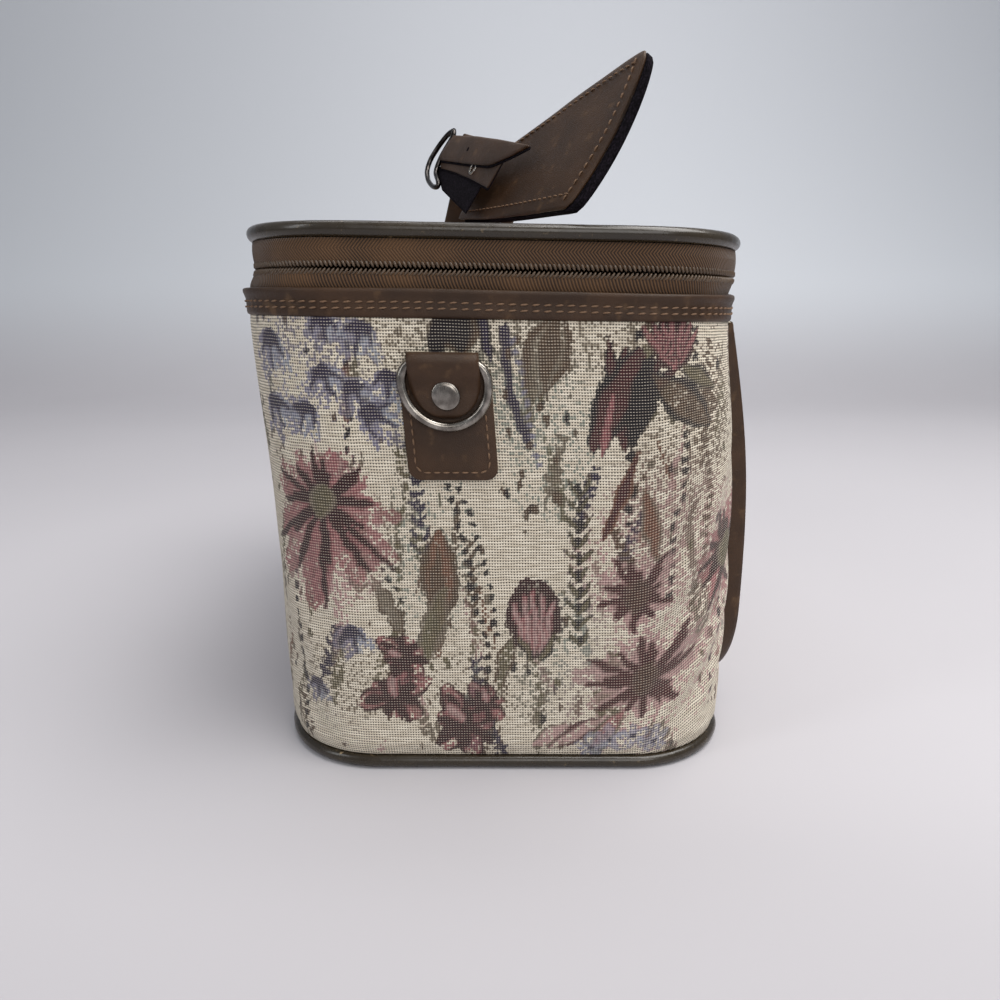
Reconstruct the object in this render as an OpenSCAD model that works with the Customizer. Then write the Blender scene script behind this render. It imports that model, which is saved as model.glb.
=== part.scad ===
// Soft-sided cosmetic train case with a zipped lid, end D-rings, a front pocket, a handle and a luggage tag.
// +X runs along the case, -Y is its front and +Z is up. The origin is the middle of the base.

/* [Case] */
// Length of the wall over its outside
case_l = 304; // [240:1:380]
// Depth of the wall over its outside, front to back
case_w = 198; // [160:1:240]
// Radius of the four upright corners, outside
corner_r = 45; // [30:1:60]
// Thickness of the padded wall
wall_t = 3; // [2:0.5:5]
// Height of the top edge of the wall
wall_top = 196; // [150:1:240]
// Thickness of the base board
base_t = 3; // [2:0.5:5]
// Thickness of the lining
lining_t = 0.8; // [0.5:0.1:1.5]
// Radius of the piping round the base
base_piping_r = 2.75; // [2:0.25:4]
// Height of the leather band round the mouth
band_h = 10.5; // [6:0.5:16]
// Thickness of the leather band
band_t = 2; // [1:0.1:3]

/* [Zip] */
// Height of the lower zip tape
lower_tape_h = 6.4; // [4:0.2:10]
// Height of the upper zip tape, which is the side of the lid
upper_tape_h = 9; // [6:0.5:16]
// Thickness of the zip tape
tape_t = 1.2; // [0.8:0.1:2]
// Height of one row of zip teeth
teeth_h = 1.1; // [0.8:0.1:1.6]
// Thickness of the zip teeth through the tape
teeth_t = 2.4; // [2.1:0.1:4]
// How far the zip runs on along the back wall, past the left corner
zip_start_run = 7; // [4:0.5:9]
// Angle round the back right corner at which the zip ends, in degrees
zip_end_turn = 50; // [40:1:56]
// Length of the slider
slider_l = 11; // [8:0.5:14]
// Length of the pull tab
pull_l = 24; // [15:1:40]
// Width of the pull tab
pull_w = 5.5; // [4:0.5:8]

/* [Lid] */
// Thickness of the lid board at its edge
lid_t = 6; // [4:0.5:10]
// Rise of the lid's crown at its middle line
lid_crown = 2.2; // [1:0.2:5]
// Radius of the piping round the lid
lid_piping_r = 3; // [2:0.25:4]
// Width of the hinge strip at the back
hinge_l = 170; // [120:1:172]

/* [End rings] */
// Distance of the end rings from the middle line, towards the back
ring_shift = 17; // [0:1:25]
// Height of the ring's straight bar
ring_bar_z = 171; // [150:1:178]
// Outside width of a ring
ring_w = 35; // [28:1:45]
// Length of the straight sides of a ring
ring_side = 8; // [4:1:14]
// Radius of the ring's wire
ring_wire_r = 1.5; // [1:0.1:2.2]
// Width of the leather patch under a ring
patch_w = 34.5; // [30:0.5:44]
// Height of the lower edge of the patch
patch_bottom = 126; // [110:1:135]
// Thickness of the patch and of the folded tab
leather_t = 1.5; // [1:0.1:2]
// Width of the folded tab
tab_w = 28; // [22:1:34]
// Diameter of the rivet head
rivet_d = 10; // [6:0.5:12]

/* [Front pocket] */
// Length of the pocket
pocket_l = 216; // [150:1:230]
// Height of the lower edge of the pocket
pocket_bottom = 9; // [8:1:40]
// Height of the mouth of the pocket
pocket_top = 181; // [140:1:183]
// How far the pocket stands out where it is fullest
pocket_bulge = 11.2; // [11:0.1:18]
// Height at which the pocket is fullest
pocket_full_z = 85; // [70:1:110]
// Radius of the bulge of the pocket
pocket_bend_r = 1100; // [900:10:1600]
// Radius of the lower corners of the pocket
pocket_corner_r = 46; // [20:1:60]
// Thickness of the pocket's cloth and board
pocket_t = 1.5; // [1:0.1:3]
// Width of the leather binding round the pocket
binding_w = 11; // [6:1:16]
// Thickness of the leather binding
binding_t = 1; // [0.6:0.1:2]

/* [Handle] */
// Distance between the legs of the handle
handle_span = 112; // [100:1:130]
// Rise of the handle over the lid, measured along its own slope
handle_rise = 46; // [38:1:60]
// Radius of the handle's two bends
handle_bend_r = 22; // [14:1:30]
// Lean of the handle towards the front, in degrees
handle_lean = 14; // [8:1:20]
// Width of the handle's strap
handle_w = 22; // [16:1:23]
// Thickness of the handle's strap
handle_t = 3; // [2:0.5:4]
// Thickness of the leather round the grip
grip_t = 2.5; // [1.5:0.5:4]
// Length of the leather anchor that holds a foot of the handle
anchor_l = 34; // [24:1:50]
// Thickness of an anchor
anchor_t = 2; // [1:0.5:4]

/* [Tag] */
// Length of the luggage tag along its lower edge
tag_l = 88; // [80:1:96]
// Width of the luggage tag at its free end
tag_w = 55; // [48:1:62]
// Width of the luggage tag at its strap
tag_neck_w = 30; // [26:1:36]
// Thickness of one leaf of the tag
tag_t = 1.2; // [0.8:0.1:2]
// Radius of the corners of the tag
tag_corner_r = 2.5; // [1.5:0.5:4]
// Width of the tag's strap
strap_w = 17; // [14:1:18]
// Thickness of the tag's strap
strap_t = 1.8; // [1.2:0.1:2.5]
// Length of the loop of the strap round the handle
loop_l = 40; // [39:1:41]
// Depth of the loop of the strap round the handle
loop_d = 34; // [33.5:0.5:36]
// Length of the free end of the strap
strap_end_l = 76; // [60:1:84]
// Diameter of the eyelet in the strap
eyelet_d = 6; // [4:0.5:8]
// Radius of the buckle's wire
buckle_wire_r = 1.1; // [0.8:0.1:1.5]

/* [Clearances] */
// Gap between sewn pieces that lie against each other
seam_gap = 0.25; // [0.2:0.05:0.5]
// Gap between the two rows of zip teeth
mesh_gap = 0.4; // [0.3:0.1:0.8]
// Radial clearance of a running pin
pin_gap = 0.06; // [0.02:0.01:0.1]

/* [Hidden] */
$fn = 96;

leather = [0.27, 0.21, 0.16];
vinyl = [0.24, 0.21, 0.15];
tape_brown = [0.30, 0.22, 0.14];
tapestry = [0.78, 0.73, 0.64];
lining_grey = [0.55, 0.52, 0.47];
steel = [0.62, 0.60, 0.57];
dark = [0.12, 0.09, 0.07];

half_l = case_l / 2;
half_w = case_w / 2;
// How far the middle of the piping lies inside the wall's outside, at the base and at the lid
base_piping_inset = 1.45;
lid_piping_inset = 1.65;
wall_bottom = seam_gap + 2 * base_piping_r + seam_gap;
base_inset = base_piping_r + base_piping_inset + seam_gap;

tape_inset = 0.8;
lower_tape_top = wall_top + lower_tape_h;
lower_teeth_top = lower_tape_top + teeth_h;
split_z = lower_teeth_top + mesh_gap / 2;
upper_teeth_bottom = lower_teeth_top + mesh_gap;
upper_tape_bottom = upper_teeth_bottom + teeth_h;
upper_tape_top = upper_tape_bottom + upper_tape_h;
teeth_inset = tape_inset + tape_t / 2 - teeth_t / 2;

lid_piping_z = upper_tape_top + lid_piping_r;
lid_bottom = upper_tape_top - 2;
lid_top = lid_bottom + lid_t;
lid_inset = lid_piping_r + lid_piping_inset + seam_gap;
lid_peak = lid_top + lid_crown;

// A rounded rectangle, drawn as an outline inset from the outside of the wall.
module outline(inset) {
    l = case_l - 2 * inset;
    w = case_w - 2 * inset;
    r = corner_r - inset;
    square([l - 2 * r, w], center = true);
    square([l, w - 2 * r], center = true);
    for (sx = [-1, 1], sy = [-1, 1])
        translate([sx * (l / 2 - r), sy * (w / 2 - r)]) circle(r);
}

// A flat board that follows the outline.
module board(inset, z0, z1) {
    translate([0, 0, z0]) linear_extrude(z1 - z0) outline(inset);
}

// An upright wall that follows the outline.
module ring(inset, t, z0, z1) {
    translate([0, 0, z0]) linear_extrude(z1 - z0) difference() {
        outline(inset);
        outline(inset + t);
    }
}

// A round bead that follows the outline.
module bead(inset, bead_r, z) {
    r = corner_r - inset;
    straight_x = case_l / 2 - corner_r;
    straight_y = case_w / 2 - corner_r;
    translate([0, 0, z]) {
        for (turn = [0, 180]) rotate(turn) {
            translate([-straight_x, half_w - inset, 0]) rotate([0, 90, 0])
                cylinder(r = bead_r, h = 2 * straight_x);
            translate([half_l - inset, straight_y, 0]) rotate([90, 0, 0])
                cylinder(r = bead_r, h = 2 * straight_y);
        }
        for (sx = [-1, 1], sy = [-1, 1])
            translate([sx * straight_x, sy * straight_y, 0])
                rotate(sx > 0 ? (sy > 0 ? 0 : 270) : (sy > 0 ? 90 : 180))
                    rotate_extrude(angle = 90) translate([r, 0]) circle(bead_r, $fn = 32);
    }
}

// The middle of the back right corner, turned by an angle, with x pointing out of the corner.
module back_corner(turn) {
    translate([half_l - corner_r, half_w - corner_r, 0]) rotate(turn) children();
}

// The part of a ring on which the zip's teeth run: all but the back between the zip's two ends.
module zip_run() {
    reach = 2 * corner_r;
    start_x = corner_r - half_l + zip_start_run;
    middle_y = half_w - corner_r;
    end_x = half_l - corner_r;
    difference() {
        children();
        linear_extrude(2 * wall_top) polygon([
            [start_x, middle_y],
            [end_x, middle_y],
            [end_x + reach * cos(zip_end_turn), middle_y + reach * sin(zip_end_turn)],
            [start_x, middle_y + reach]
        ]);
    }
}

module base_panel() {
    color(tapestry) board(base_inset, 0, base_t);
}

module base_piping() {
    color(vinyl) bead(base_piping_inset, base_piping_r, base_piping_r + seam_gap);
}

module wall_panel() {
    color(tapestry) ring(0, wall_t, wall_bottom, wall_top);
}

module case_lining() {
    color(lining_grey) {
        board(wall_t + seam_gap, wall_bottom, wall_bottom + lining_t);
        ring(wall_t + seam_gap, lining_t, wall_bottom, wall_top);
    }
}

module rim_band() {
    color(leather) ring(-band_t, band_t, wall_top - band_h, wall_top);
}

module lower_tape() {
    color(tape_brown) ring(tape_inset, tape_t, wall_top, lower_tape_top);
}

module lower_teeth() {
    color(dark) zip_run() ring(teeth_inset, teeth_t, lower_tape_top, lower_teeth_top);
}

module upper_tape() {
    color(tape_brown) ring(tape_inset, tape_t, upper_tape_bottom, upper_tape_top);
}

module upper_teeth() {
    color(dark) zip_run() ring(teeth_inset, teeth_t, upper_teeth_bottom, upper_tape_bottom);
}

// The slider has a plate on each side of the teeth, joined by a post just past the last tooth.
// It is drawn about its middle, with x pointing out of the corner and y along the teeth.
slider_h = 2 * teeth_h + mesh_gap + 4;
slider_plate_t = 1.2;
slider_play = 0.6;
slider_post = 2;
slider_out_x = slider_play - teeth_inset;
slider_in_x = -teeth_inset - teeth_t - slider_play;
slider_turn = zip_end_turn - asin((slider_l / 2 - slider_post - slider_play) / corner_r);
bail_pin_r = 0.9;
bail_x = slider_out_x + slider_plate_t + 2.2;
lug_t = 1.2;
lug_r = 1.4;
lug_play = 0.3;
pull_t = 1.4;
pull_eye_r = bail_pin_r + pin_gap + 1.1;

module slider_place() {
    back_corner(slider_turn) translate([corner_r, 0, split_z]) children();
}

module slider_plate(x) {
    translate([x, -slider_l / 2, -slider_h / 2]) cube([slider_plate_t, slider_l, slider_h]);
}

module zip_slider() {
    color(steel) slider_place() {
        slider_plate(slider_out_x);
        slider_plate(slider_in_x - slider_plate_t);
        translate([slider_in_x - slider_plate_t, slider_l / 2 - slider_post, -slider_post / 2])
            cube([slider_out_x - slider_in_x + 2 * slider_plate_t, slider_post, slider_post]);
        for (side = [-1, 1])
            translate([slider_out_x, -lug_r, side * (pull_w / 2 + lug_play + lug_t / 2) - lug_t / 2])
                cube([bail_x - slider_out_x + lug_r, 2 * lug_r, lug_t]);
        translate([bail_x, 0, -pull_w / 2 - lug_play - lug_t / 2])
            cylinder(r = bail_pin_r, h = pull_w + 2 * lug_play + lug_t);
    }
}

module zip_pull() {
    color(steel) slider_place() translate([bail_x, 0, -pull_w / 2]) difference() {
        union() {
            cylinder(r = pull_eye_r, h = pull_w);
            translate([0, -pull_l, 0]) cube([pull_t, pull_l, pull_w]);
        }
        translate([0, 0, -pull_w]) cylinder(r = bail_pin_r + pin_gap, h = 3 * pull_w);
    }
}

// Small leather tabs cover the zip's ends on the lower tape.
end_tab_w = 11;
end_tab_t = 0.9;
end_tab_play = 1.5;
end_tab_z = wall_top + 0.3;
end_tab_h = lower_tape_h - 0.6;
end_tab_turn = slider_turn + asin((slider_l / 2 + end_tab_play) / corner_r);
end_tab_angle = 2 * asin(end_tab_w / 2 / corner_r);

module zip_end_tabs() {
    reach = 2 * corner_r;
    color(leather) {
        translate([corner_r - half_l + zip_start_run + end_tab_play, half_w - tape_inset, end_tab_z])
            cube([end_tab_w, end_tab_t, end_tab_h]);
        intersection() {
            ring(tape_inset - end_tab_t, end_tab_t, end_tab_z, end_tab_z + end_tab_h);
            back_corner(end_tab_turn) linear_extrude(2 * wall_top)
                polygon([[0, 0], [reach, 0], [reach * cos(end_tab_angle), reach * sin(end_tab_angle)]]);
        }
    }
}

// The hinge strip is sewn to both tapes at the back, and folds between its two halves.
strip_t = 1;

module hinge_half(z0, z1) {
    translate([-hinge_l / 2, half_w - tape_inset, z0]) cube([hinge_l, strip_t, z1 - z0]);
}

module lower_hinge_strip() {
    color(leather) hinge_half(wall_top + 0.3, split_z - mesh_gap / 2);
}

module upper_hinge_strip() {
    color(leather) hinge_half(split_z + mesh_gap / 2, upper_tape_top - 0.6);
}

// The pocket is a bulged panel that stands off the front wall and is open at the top.
module pocket_outline(grow) {
    l = pocket_l + 2 * grow;
    r = pocket_corner_r + grow;
    translate([-l / 2, pocket_bottom - grow + r]) square([l, pocket_top - pocket_bottom + grow - r]);
    translate([-l / 2 + r, pocket_bottom - grow]) square([l - 2 * r, r]);
    for (side = [-1, 1]) translate([side * (l / 2 - r), pocket_bottom - grow + r]) circle(r);
}

module pocket_block(grow, proud) {
    intersection() {
        translate([0, -half_w, 0]) rotate([90, 0, 0]) linear_extrude(2 * pocket_bulge) pocket_outline(grow);
        translate([-case_l, -half_w - pocket_bulge - proud + pocket_bend_r, pocket_full_z])
            rotate([0, 90, 0]) cylinder(r = pocket_bend_r, h = 2 * case_l, $fn = 360);
    }
}

module pocket_hollow() {
    intersection() {
        translate([0, -half_w + 1, 0]) rotate([90, 0, 0]) linear_extrude(2 * pocket_bulge) union() {
            pocket_outline(-pocket_t);
            translate([-pocket_l / 2 + pocket_t, pocket_top - 2 * pocket_t])
                square([pocket_l - 2 * pocket_t, 4 * pocket_t]);
        }
        translate([-case_l, -half_w - pocket_bulge + pocket_t + pocket_bend_r, pocket_full_z])
            rotate([0, 90, 0]) cylinder(r = pocket_bend_r, h = 2 * case_l, $fn = 360);
    }
}

module front_pocket() {
    color(tapestry) difference() {
        pocket_block(0, 0);
        pocket_hollow();
    }
}

module pocket_binding() {
    color(leather) difference() {
        pocket_block(binding_t, binding_t);
        translate([0, -half_w + 1, 0]) rotate([90, 0, 0]) linear_extrude(3 * pocket_bulge)
            pocket_outline(-binding_w);
        pocket_block_cut();
    }
}

// The room inside the binding that the pocket itself fills, with its open mouth.
module pocket_block_cut() {
    intersection() {
        translate([0, -half_w + 1, 0]) rotate([90, 0, 0]) linear_extrude(2 * pocket_bulge) union() {
            pocket_outline(0);
            translate([-pocket_l / 2, pocket_top - 1]) square([pocket_l, 2]);
        }
        translate([-case_l, -half_w - pocket_bulge + pocket_bend_r, pocket_full_z])
            rotate([0, 90, 0]) cylinder(r = pocket_bend_r, h = 2 * case_l, $fn = 360);
    }
}

// End ring fittings are drawn for the right end, about the ring's bar, and turned round for the left end.
patch_corner_r = 5;
patch_top = ring_bar_z - 3;
tab_back_x = half_l + leather_t;
bar_bore_r = ring_wire_r + 0.1;
bar_x = tab_back_x + leather_t + bar_bore_r;
fold_r = bar_bore_r + leather_t;
rivet_z = ring_bar_z - 12.4;
tongue_r = 9;
press_z = rivet_z + rivet_d / 2;
tab_shoulder = 4;
ring_r = ring_w / 2 - ring_wire_r;

module end_place(side) {
    rotate(side > 0 ? 0 : 180) translate([0, side * ring_shift, 0]) children();
}

// Draws an outline seen from the end, as a plate of the thickness t from x outwards.
module end_plate(x, t) {
    translate([x, 0, 0]) rotate([90, 0, 90]) linear_extrude(t) children();
}

module patch() {
    color(leather) end_plate(half_l, leather_t) {
        translate([-patch_w / 2, patch_bottom + patch_corner_r])
            square([patch_w, patch_top - patch_bottom - patch_corner_r]);
        translate([-patch_w / 2 + patch_corner_r, patch_bottom])
            square([patch_w - 2 * patch_corner_r, patch_corner_r]);
        for (s = [-1, 1])
            translate([s * (patch_w / 2 - patch_corner_r), patch_bottom + patch_corner_r])
                circle(patch_corner_r);
    }
}

// The tab goes up from the patch, over the ring's bar and down again, and is pressed flat at the rivet.
module tab_section() {
    front = bar_x + bar_bore_r;
    pressed = tab_back_x + leather_t;
    tongue_end = rivet_z - tongue_r - 1;
    difference() {
        polygon(concat(
            [[tab_back_x, tongue_end]],
            [for (a = [180 : -10 : 0]) [bar_x + fold_r * cos(a), ring_bar_z + fold_r * sin(a)]],
            [
                [front + leather_t, ring_bar_z - bar_bore_r],
                [pressed + leather_t, press_z],
                [pressed + leather_t, tongue_end]
            ]
        ));
        translate([bar_x, ring_bar_z]) circle(bar_bore_r);
        polygon([
            [pressed, ring_bar_z],
            [front, ring_bar_z],
            [front, ring_bar_z - bar_bore_r],
            [pressed, press_z]
        ]);
    }
}

// The tab's outline seen from the end: full width at the bar, narrowing to a round tongue at the rivet.
module tab_face() {
    polygon(concat(
        [
            [-tab_w / 2, ring_bar_z - tab_shoulder],
            [-tab_w / 2, ring_bar_z + 2 * fold_r],
            [tab_w / 2, ring_bar_z + 2 * fold_r],
            [tab_w / 2, ring_bar_z - tab_shoulder]
        ],
        [for (a = [0 : -12 : -180]) [tongue_r * cos(a), rivet_z + tongue_r * sin(a)]]
    ));
}

module tab() {
    color(leather) difference() {
        intersection() {
            translate([0, tab_w / 2, 0]) rotate([90, 0, 0]) linear_extrude(tab_w) tab_section();
            end_plate(half_l, 4 * fold_r) tab_face();
        }
        translate([half_l, 0, rivet_z]) rotate([0, 90, 0])
            cylinder(r = rivet_shank_r + pin_gap, h = 4 * fold_r);
    }
}

rivet_shank_r = 2;
rivet_head_h = 1.8;

// A domed head on a plain shank.
module rivet() {
    shank_l = 2 * leather_t;
    crown_r = (rivet_d * rivet_d / 4 + rivet_head_h * rivet_head_h) / (2 * rivet_head_h);
    color(steel) translate([tab_back_x, 0, rivet_z]) rotate([0, 90, 0]) rotate_extrude() {
        square([rivet_shank_r, shank_l]);
        intersection() {
            translate([0, shank_l + rivet_head_h - crown_r]) circle(crown_r);
            translate([0, shank_l]) square([rivet_d / 2, rivet_head_h]);
        }
    }
}

module d_ring() {
    color(steel) translate([bar_x, 0, ring_bar_z]) {
        rotate([90, 0, 0]) translate([0, 0, -ring_r]) cylinder(r = ring_wire_r, h = 2 * ring_r);
        for (s = [-1, 1]) translate([0, s * ring_r, 0]) {
            sphere(ring_wire_r);
            translate([0, 0, -ring_side]) cylinder(r = ring_wire_r, h = ring_side);
        }
        translate([0, 0, -ring_side]) rotate([0, 90, 0]) rotate([0, 0, -90])
            rotate_extrude(angle = 180) translate([ring_r, 0]) circle(ring_wire_r, $fn = 32);
    }
}

module left_patch() { end_place(-1) patch(); }
module left_tab() { end_place(-1) tab(); }
module left_rivet() { end_place(-1) rivet(); }
module left_ring() { end_place(-1) d_ring(); }
module right_patch() { end_place(1) patch(); }
module right_tab() { end_place(1) tab(); }
module right_rivet() { end_place(1) rivet(); }
module right_ring() { end_place(1) d_ring(); }

// The lid board has a low crown, bent about the length of the case.
crown_steps = 14;
crown_half = half_w - lid_inset;

module lid_panel() {
    crown = [
        for (i = [0 : crown_steps])
            let (y = crown_half * (1 - 2 * i / crown_steps))
                [y, lid_peak - lid_crown * (y / crown_half) * (y / crown_half)]
    ];
    color(tapestry) intersection() {
        board(lid_inset, lid_bottom, lid_peak + 1);
        translate([-case_l, 0, 0]) rotate([90, 0, 90]) linear_extrude(2 * case_l)
            polygon(concat([[-crown_half, 0], [crown_half, 0]], crown));
    }
}

module lid_lining() {
    color(lining_grey) board(lid_inset, lid_bottom - lining_t, lid_bottom);
}

module lid_piping() {
    color(vinyl) bead(lid_piping_inset, lid_piping_r, lid_piping_z);
}

// The handle is a leather strap in line with the end rings, with a padded grip round its top.
foot_z = lid_peak + anchor_t + seam_gap;
foot_trim = handle_w / 2 * tan(handle_lean);
grip_l = handle_span - 2 * handle_bend_r;

module handle_place() {
    translate([0, ring_shift, foot_z]) rotate([handle_lean, 0, 0]) children();
}

// The handle's outline, grown on all sides, seen from the front.
module arch(grow) {
    w = handle_span + 2 * grow;
    h = handle_rise + grow;
    r = handle_bend_r + grow;
    translate([-w / 2, -handle_t]) square([w, h - r + handle_t]);
    translate([-w / 2 + r, -handle_t]) square([w - 2 * r, h + handle_t]);
    for (side = [-1, 1]) translate([side * (w / 2 - r), h - r]) circle(r);
}

module handle_strap() {
    color(leather) handle_place() translate([0, handle_w / 2, 0]) rotate([90, 0, 0]) linear_extrude(handle_w)
        difference() {
            arch(handle_t / 2);
            arch(-handle_t / 2);
            translate([-handle_span, foot_trim - handle_span]) square([2 * handle_span, handle_span]);
        }
}

module handle_grip() {
    color(leather) handle_place() translate([0, 0, handle_rise]) difference() {
        cube([grip_l, handle_w + 2 * grip_t, handle_t + 2 * grip_t], center = true);
        cube([2 * grip_l, handle_w + 2 * pin_gap, handle_t + 2 * pin_gap], center = true);
    }
}

module anchor(side) {
    color(leather) translate([side * handle_span / 2, ring_shift, lid_peak + anchor_t / 2])
        cube([anchor_l, handle_w + 8, anchor_t], center = true);
}

module left_anchor() { anchor(-1); }
module right_anchor() { anchor(1); }

// The tag stands on the lid beside the handle and narrows towards its strap. Its own x runs along its
// lower edge from the free end to the strap, y runs across it and z points away from the case's near end.
tag_origin = [-handle_span / 2 - 93.1, ring_shift - 46.2, lid_peak + 4.2];
tag_turn = [115, -3, 31];
tag_gap = strap_t + 0.2;
tag_r = tag_corner_r;
tag_corners = [
    [tag_r, tag_r],
    [tag_l - tag_r, tag_r],
    [tag_l - 18, tag_neck_w - tag_r],
    [tag_r - 6, tag_w - tag_r]
];

module tag_place() {
    translate(tag_origin) rotate(tag_turn) children();
}

module tag_leaf() {
    linear_extrude(tag_t) offset(tag_r, $fn = 32) polygon(tag_corners);
}

module tag_front() {
    color(leather) tag_place() translate([0, 0, -tag_gap / 2 - tag_t]) tag_leaf();
}

module tag_back() {
    color(dark) tag_place() translate([0, 0, tag_gap / 2]) tag_leaf();
}

// The strap is drawn from the buckle, where it turns back, with x pointing away from the tag.
// It leaves the tag at a slant, and its free end comes back over the tag at a lesser slant.
buckle_at = [tag_l + 33, tag_neck_w - 0.5, 0];
strap_slant = 20;
strap_end_slant = 7;
strap_sewn = 14;
loop_far_z = 25;
loop_near_z = loop_far_z - loop_d;
loop_corner_r = loop_d / 4;

module strap_place(slant) {
    tag_place() translate(buckle_at) rotate(slant) children();
}

// The loop's section, drawn in the strap's x and z.
module loop_section(shrink) {
    r = loop_corner_r - shrink;
    l = loop_l - 2 * shrink;
    d = loop_d - 2 * shrink;
    translate([-loop_l / 2, loop_near_z + loop_d / 2]) {
        square([l - 2 * r, d], center = true);
        square([l, d - 2 * r], center = true);
        for (sx = [-1, 1], sy = [-1, 1]) translate([sx * (l / 2 - r), sy * (d / 2 - r)]) circle(r);
    }
}

// The loop has a tongue that is sewn between the tag's leaves.
module tag_loop() {
    color(leather) strap_place(strap_slant)
        translate([0, strap_w / 2, 0]) rotate([90, 0, 0]) linear_extrude(strap_w) difference() {
            union() {
                loop_section(0);
                translate([-loop_l - strap_sewn, -strap_t / 2]) square([strap_sewn + strap_t, strap_t]);
            }
            loop_section(strap_t);
        }
}

// The free end of the strap comes back over the near side of the loop and its eyelet, to a point.
eyelet_h = 0.6;
strap_end_x = -5;
strap_end_y = 3.5;
strap_end_z = loop_near_z - eyelet_h - 0.2 - strap_t;
strap_tip = strap_w;
strap_hole_x = 26;
strap_hole_r = 1.2;

module tag_strap_end() {
    place = [strap_end_x, strap_end_y, strap_end_z];
    color(leather) strap_place(strap_end_slant) translate(place) difference() {
        linear_extrude(strap_t) polygon([
            [0, -strap_w / 2],
            [0, strap_w / 2],
            [-strap_end_l + strap_tip, strap_w / 2],
            [-strap_end_l, 0],
            [-strap_end_l + strap_tip, -strap_w / 2]
        ]);
        translate([-strap_hole_x, 0, -strap_t]) cylinder(r = strap_hole_r, h = 3 * strap_t);
    }
}

// A wire frame round the loop's outer end, with a prong across it.
buckle_y = strap_w / 2 + buckle_wire_r + 0.6;
buckle_drop = 3;
buckle_z = loop_near_z + buckle_drop;
buckle_reach = loop_corner_r + seam_gap + buckle_wire_r;
buckle_x0 = sqrt(pow(buckle_reach, 2) - pow(loop_corner_r - buckle_drop, 2)) - loop_corner_r;
buckle_x1 = buckle_x0 + 7;
prong_r = 0.7 * buckle_wire_r;
prong_z = buckle_z - 2 * buckle_wire_r - seam_gap;

module wire(from_x, from_y, to_x, to_y) {
    dx = to_x - from_x;
    dy = to_y - from_y;
    translate([from_x, from_y, 0]) {
        sphere(buckle_wire_r);
        rotate([0, 90, atan2(dy, dx)]) cylinder(r = buckle_wire_r, h = sqrt(dx * dx + dy * dy));
    }
}

module tag_buckle() {
    color(steel) strap_place(strap_slant) translate([0, 0, buckle_z]) {
        wire(buckle_x0, -buckle_y, buckle_x1, -buckle_y);
        wire(buckle_x1, -buckle_y, buckle_x1, buckle_y);
        wire(buckle_x1, buckle_y, buckle_x0, buckle_y);
        wire(buckle_x0, buckle_y, buckle_x0, -buckle_y);
    }
}

module tag_prong() {
    color(steel) strap_place(strap_slant) translate([buckle_x0, 0, prong_z]) rotate([0, 90, 0])
        cylinder(r = prong_r, h = buckle_x1 - buckle_x0);
}

// The eyelet sits on the loop's near side, half under the strap's free end.
eyelet_x = -29;
eyelet_rim = 1.2;

module tag_eyelet() {
    color(steel) strap_place(strap_slant) translate([eyelet_x, 0, loop_near_z - eyelet_h]) difference() {
        cylinder(d = eyelet_d, h = eyelet_h);
        translate([0, 0, -eyelet_h]) cylinder(d = eyelet_d - 2 * eyelet_rim, h = 3 * eyelet_h);
    }
}

base_panel();
base_piping();
wall_panel();
case_lining();
rim_band();
lower_tape();
lower_teeth();
zip_slider();
zip_end_tabs();
lower_hinge_strip();
front_pocket();
pocket_binding();
left_patch();
left_tab();
left_rivet();
right_patch();
right_tab();
right_rivet();
lid_panel();
lid_lining();
lid_piping();
upper_tape();
upper_teeth();
upper_hinge_strip();
handle_strap();
handle_grip();
left_anchor();
right_anchor();
tag_front();
tag_back();
tag_loop();
tag_strap_end();
tag_buckle();
tag_prong();
tag_eyelet();
left_ring();
right_ring();
zip_pull();
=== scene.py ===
"""Looks of a soft-sided tapestry train case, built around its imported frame. Lengths are in metres."""

import math

import bmesh
import bpy
import numpy as np
from mathutils import Euler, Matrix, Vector


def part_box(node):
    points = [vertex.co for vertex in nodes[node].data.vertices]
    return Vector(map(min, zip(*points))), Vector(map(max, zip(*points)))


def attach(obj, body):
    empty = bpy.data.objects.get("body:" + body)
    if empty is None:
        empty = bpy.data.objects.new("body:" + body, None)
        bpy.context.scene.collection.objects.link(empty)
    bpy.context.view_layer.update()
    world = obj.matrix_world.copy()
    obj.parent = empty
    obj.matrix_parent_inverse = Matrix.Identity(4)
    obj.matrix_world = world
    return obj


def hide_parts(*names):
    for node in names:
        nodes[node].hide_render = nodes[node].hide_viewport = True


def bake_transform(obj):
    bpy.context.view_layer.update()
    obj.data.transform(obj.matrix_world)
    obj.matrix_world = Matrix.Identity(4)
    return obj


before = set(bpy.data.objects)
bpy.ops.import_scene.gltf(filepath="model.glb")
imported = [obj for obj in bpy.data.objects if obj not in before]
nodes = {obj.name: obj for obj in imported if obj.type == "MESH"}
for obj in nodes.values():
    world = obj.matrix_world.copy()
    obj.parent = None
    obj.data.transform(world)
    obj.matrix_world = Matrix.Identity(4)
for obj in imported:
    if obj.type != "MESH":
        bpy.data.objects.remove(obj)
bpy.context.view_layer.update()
scene = bpy.context.scene
MM = 0.001

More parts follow.
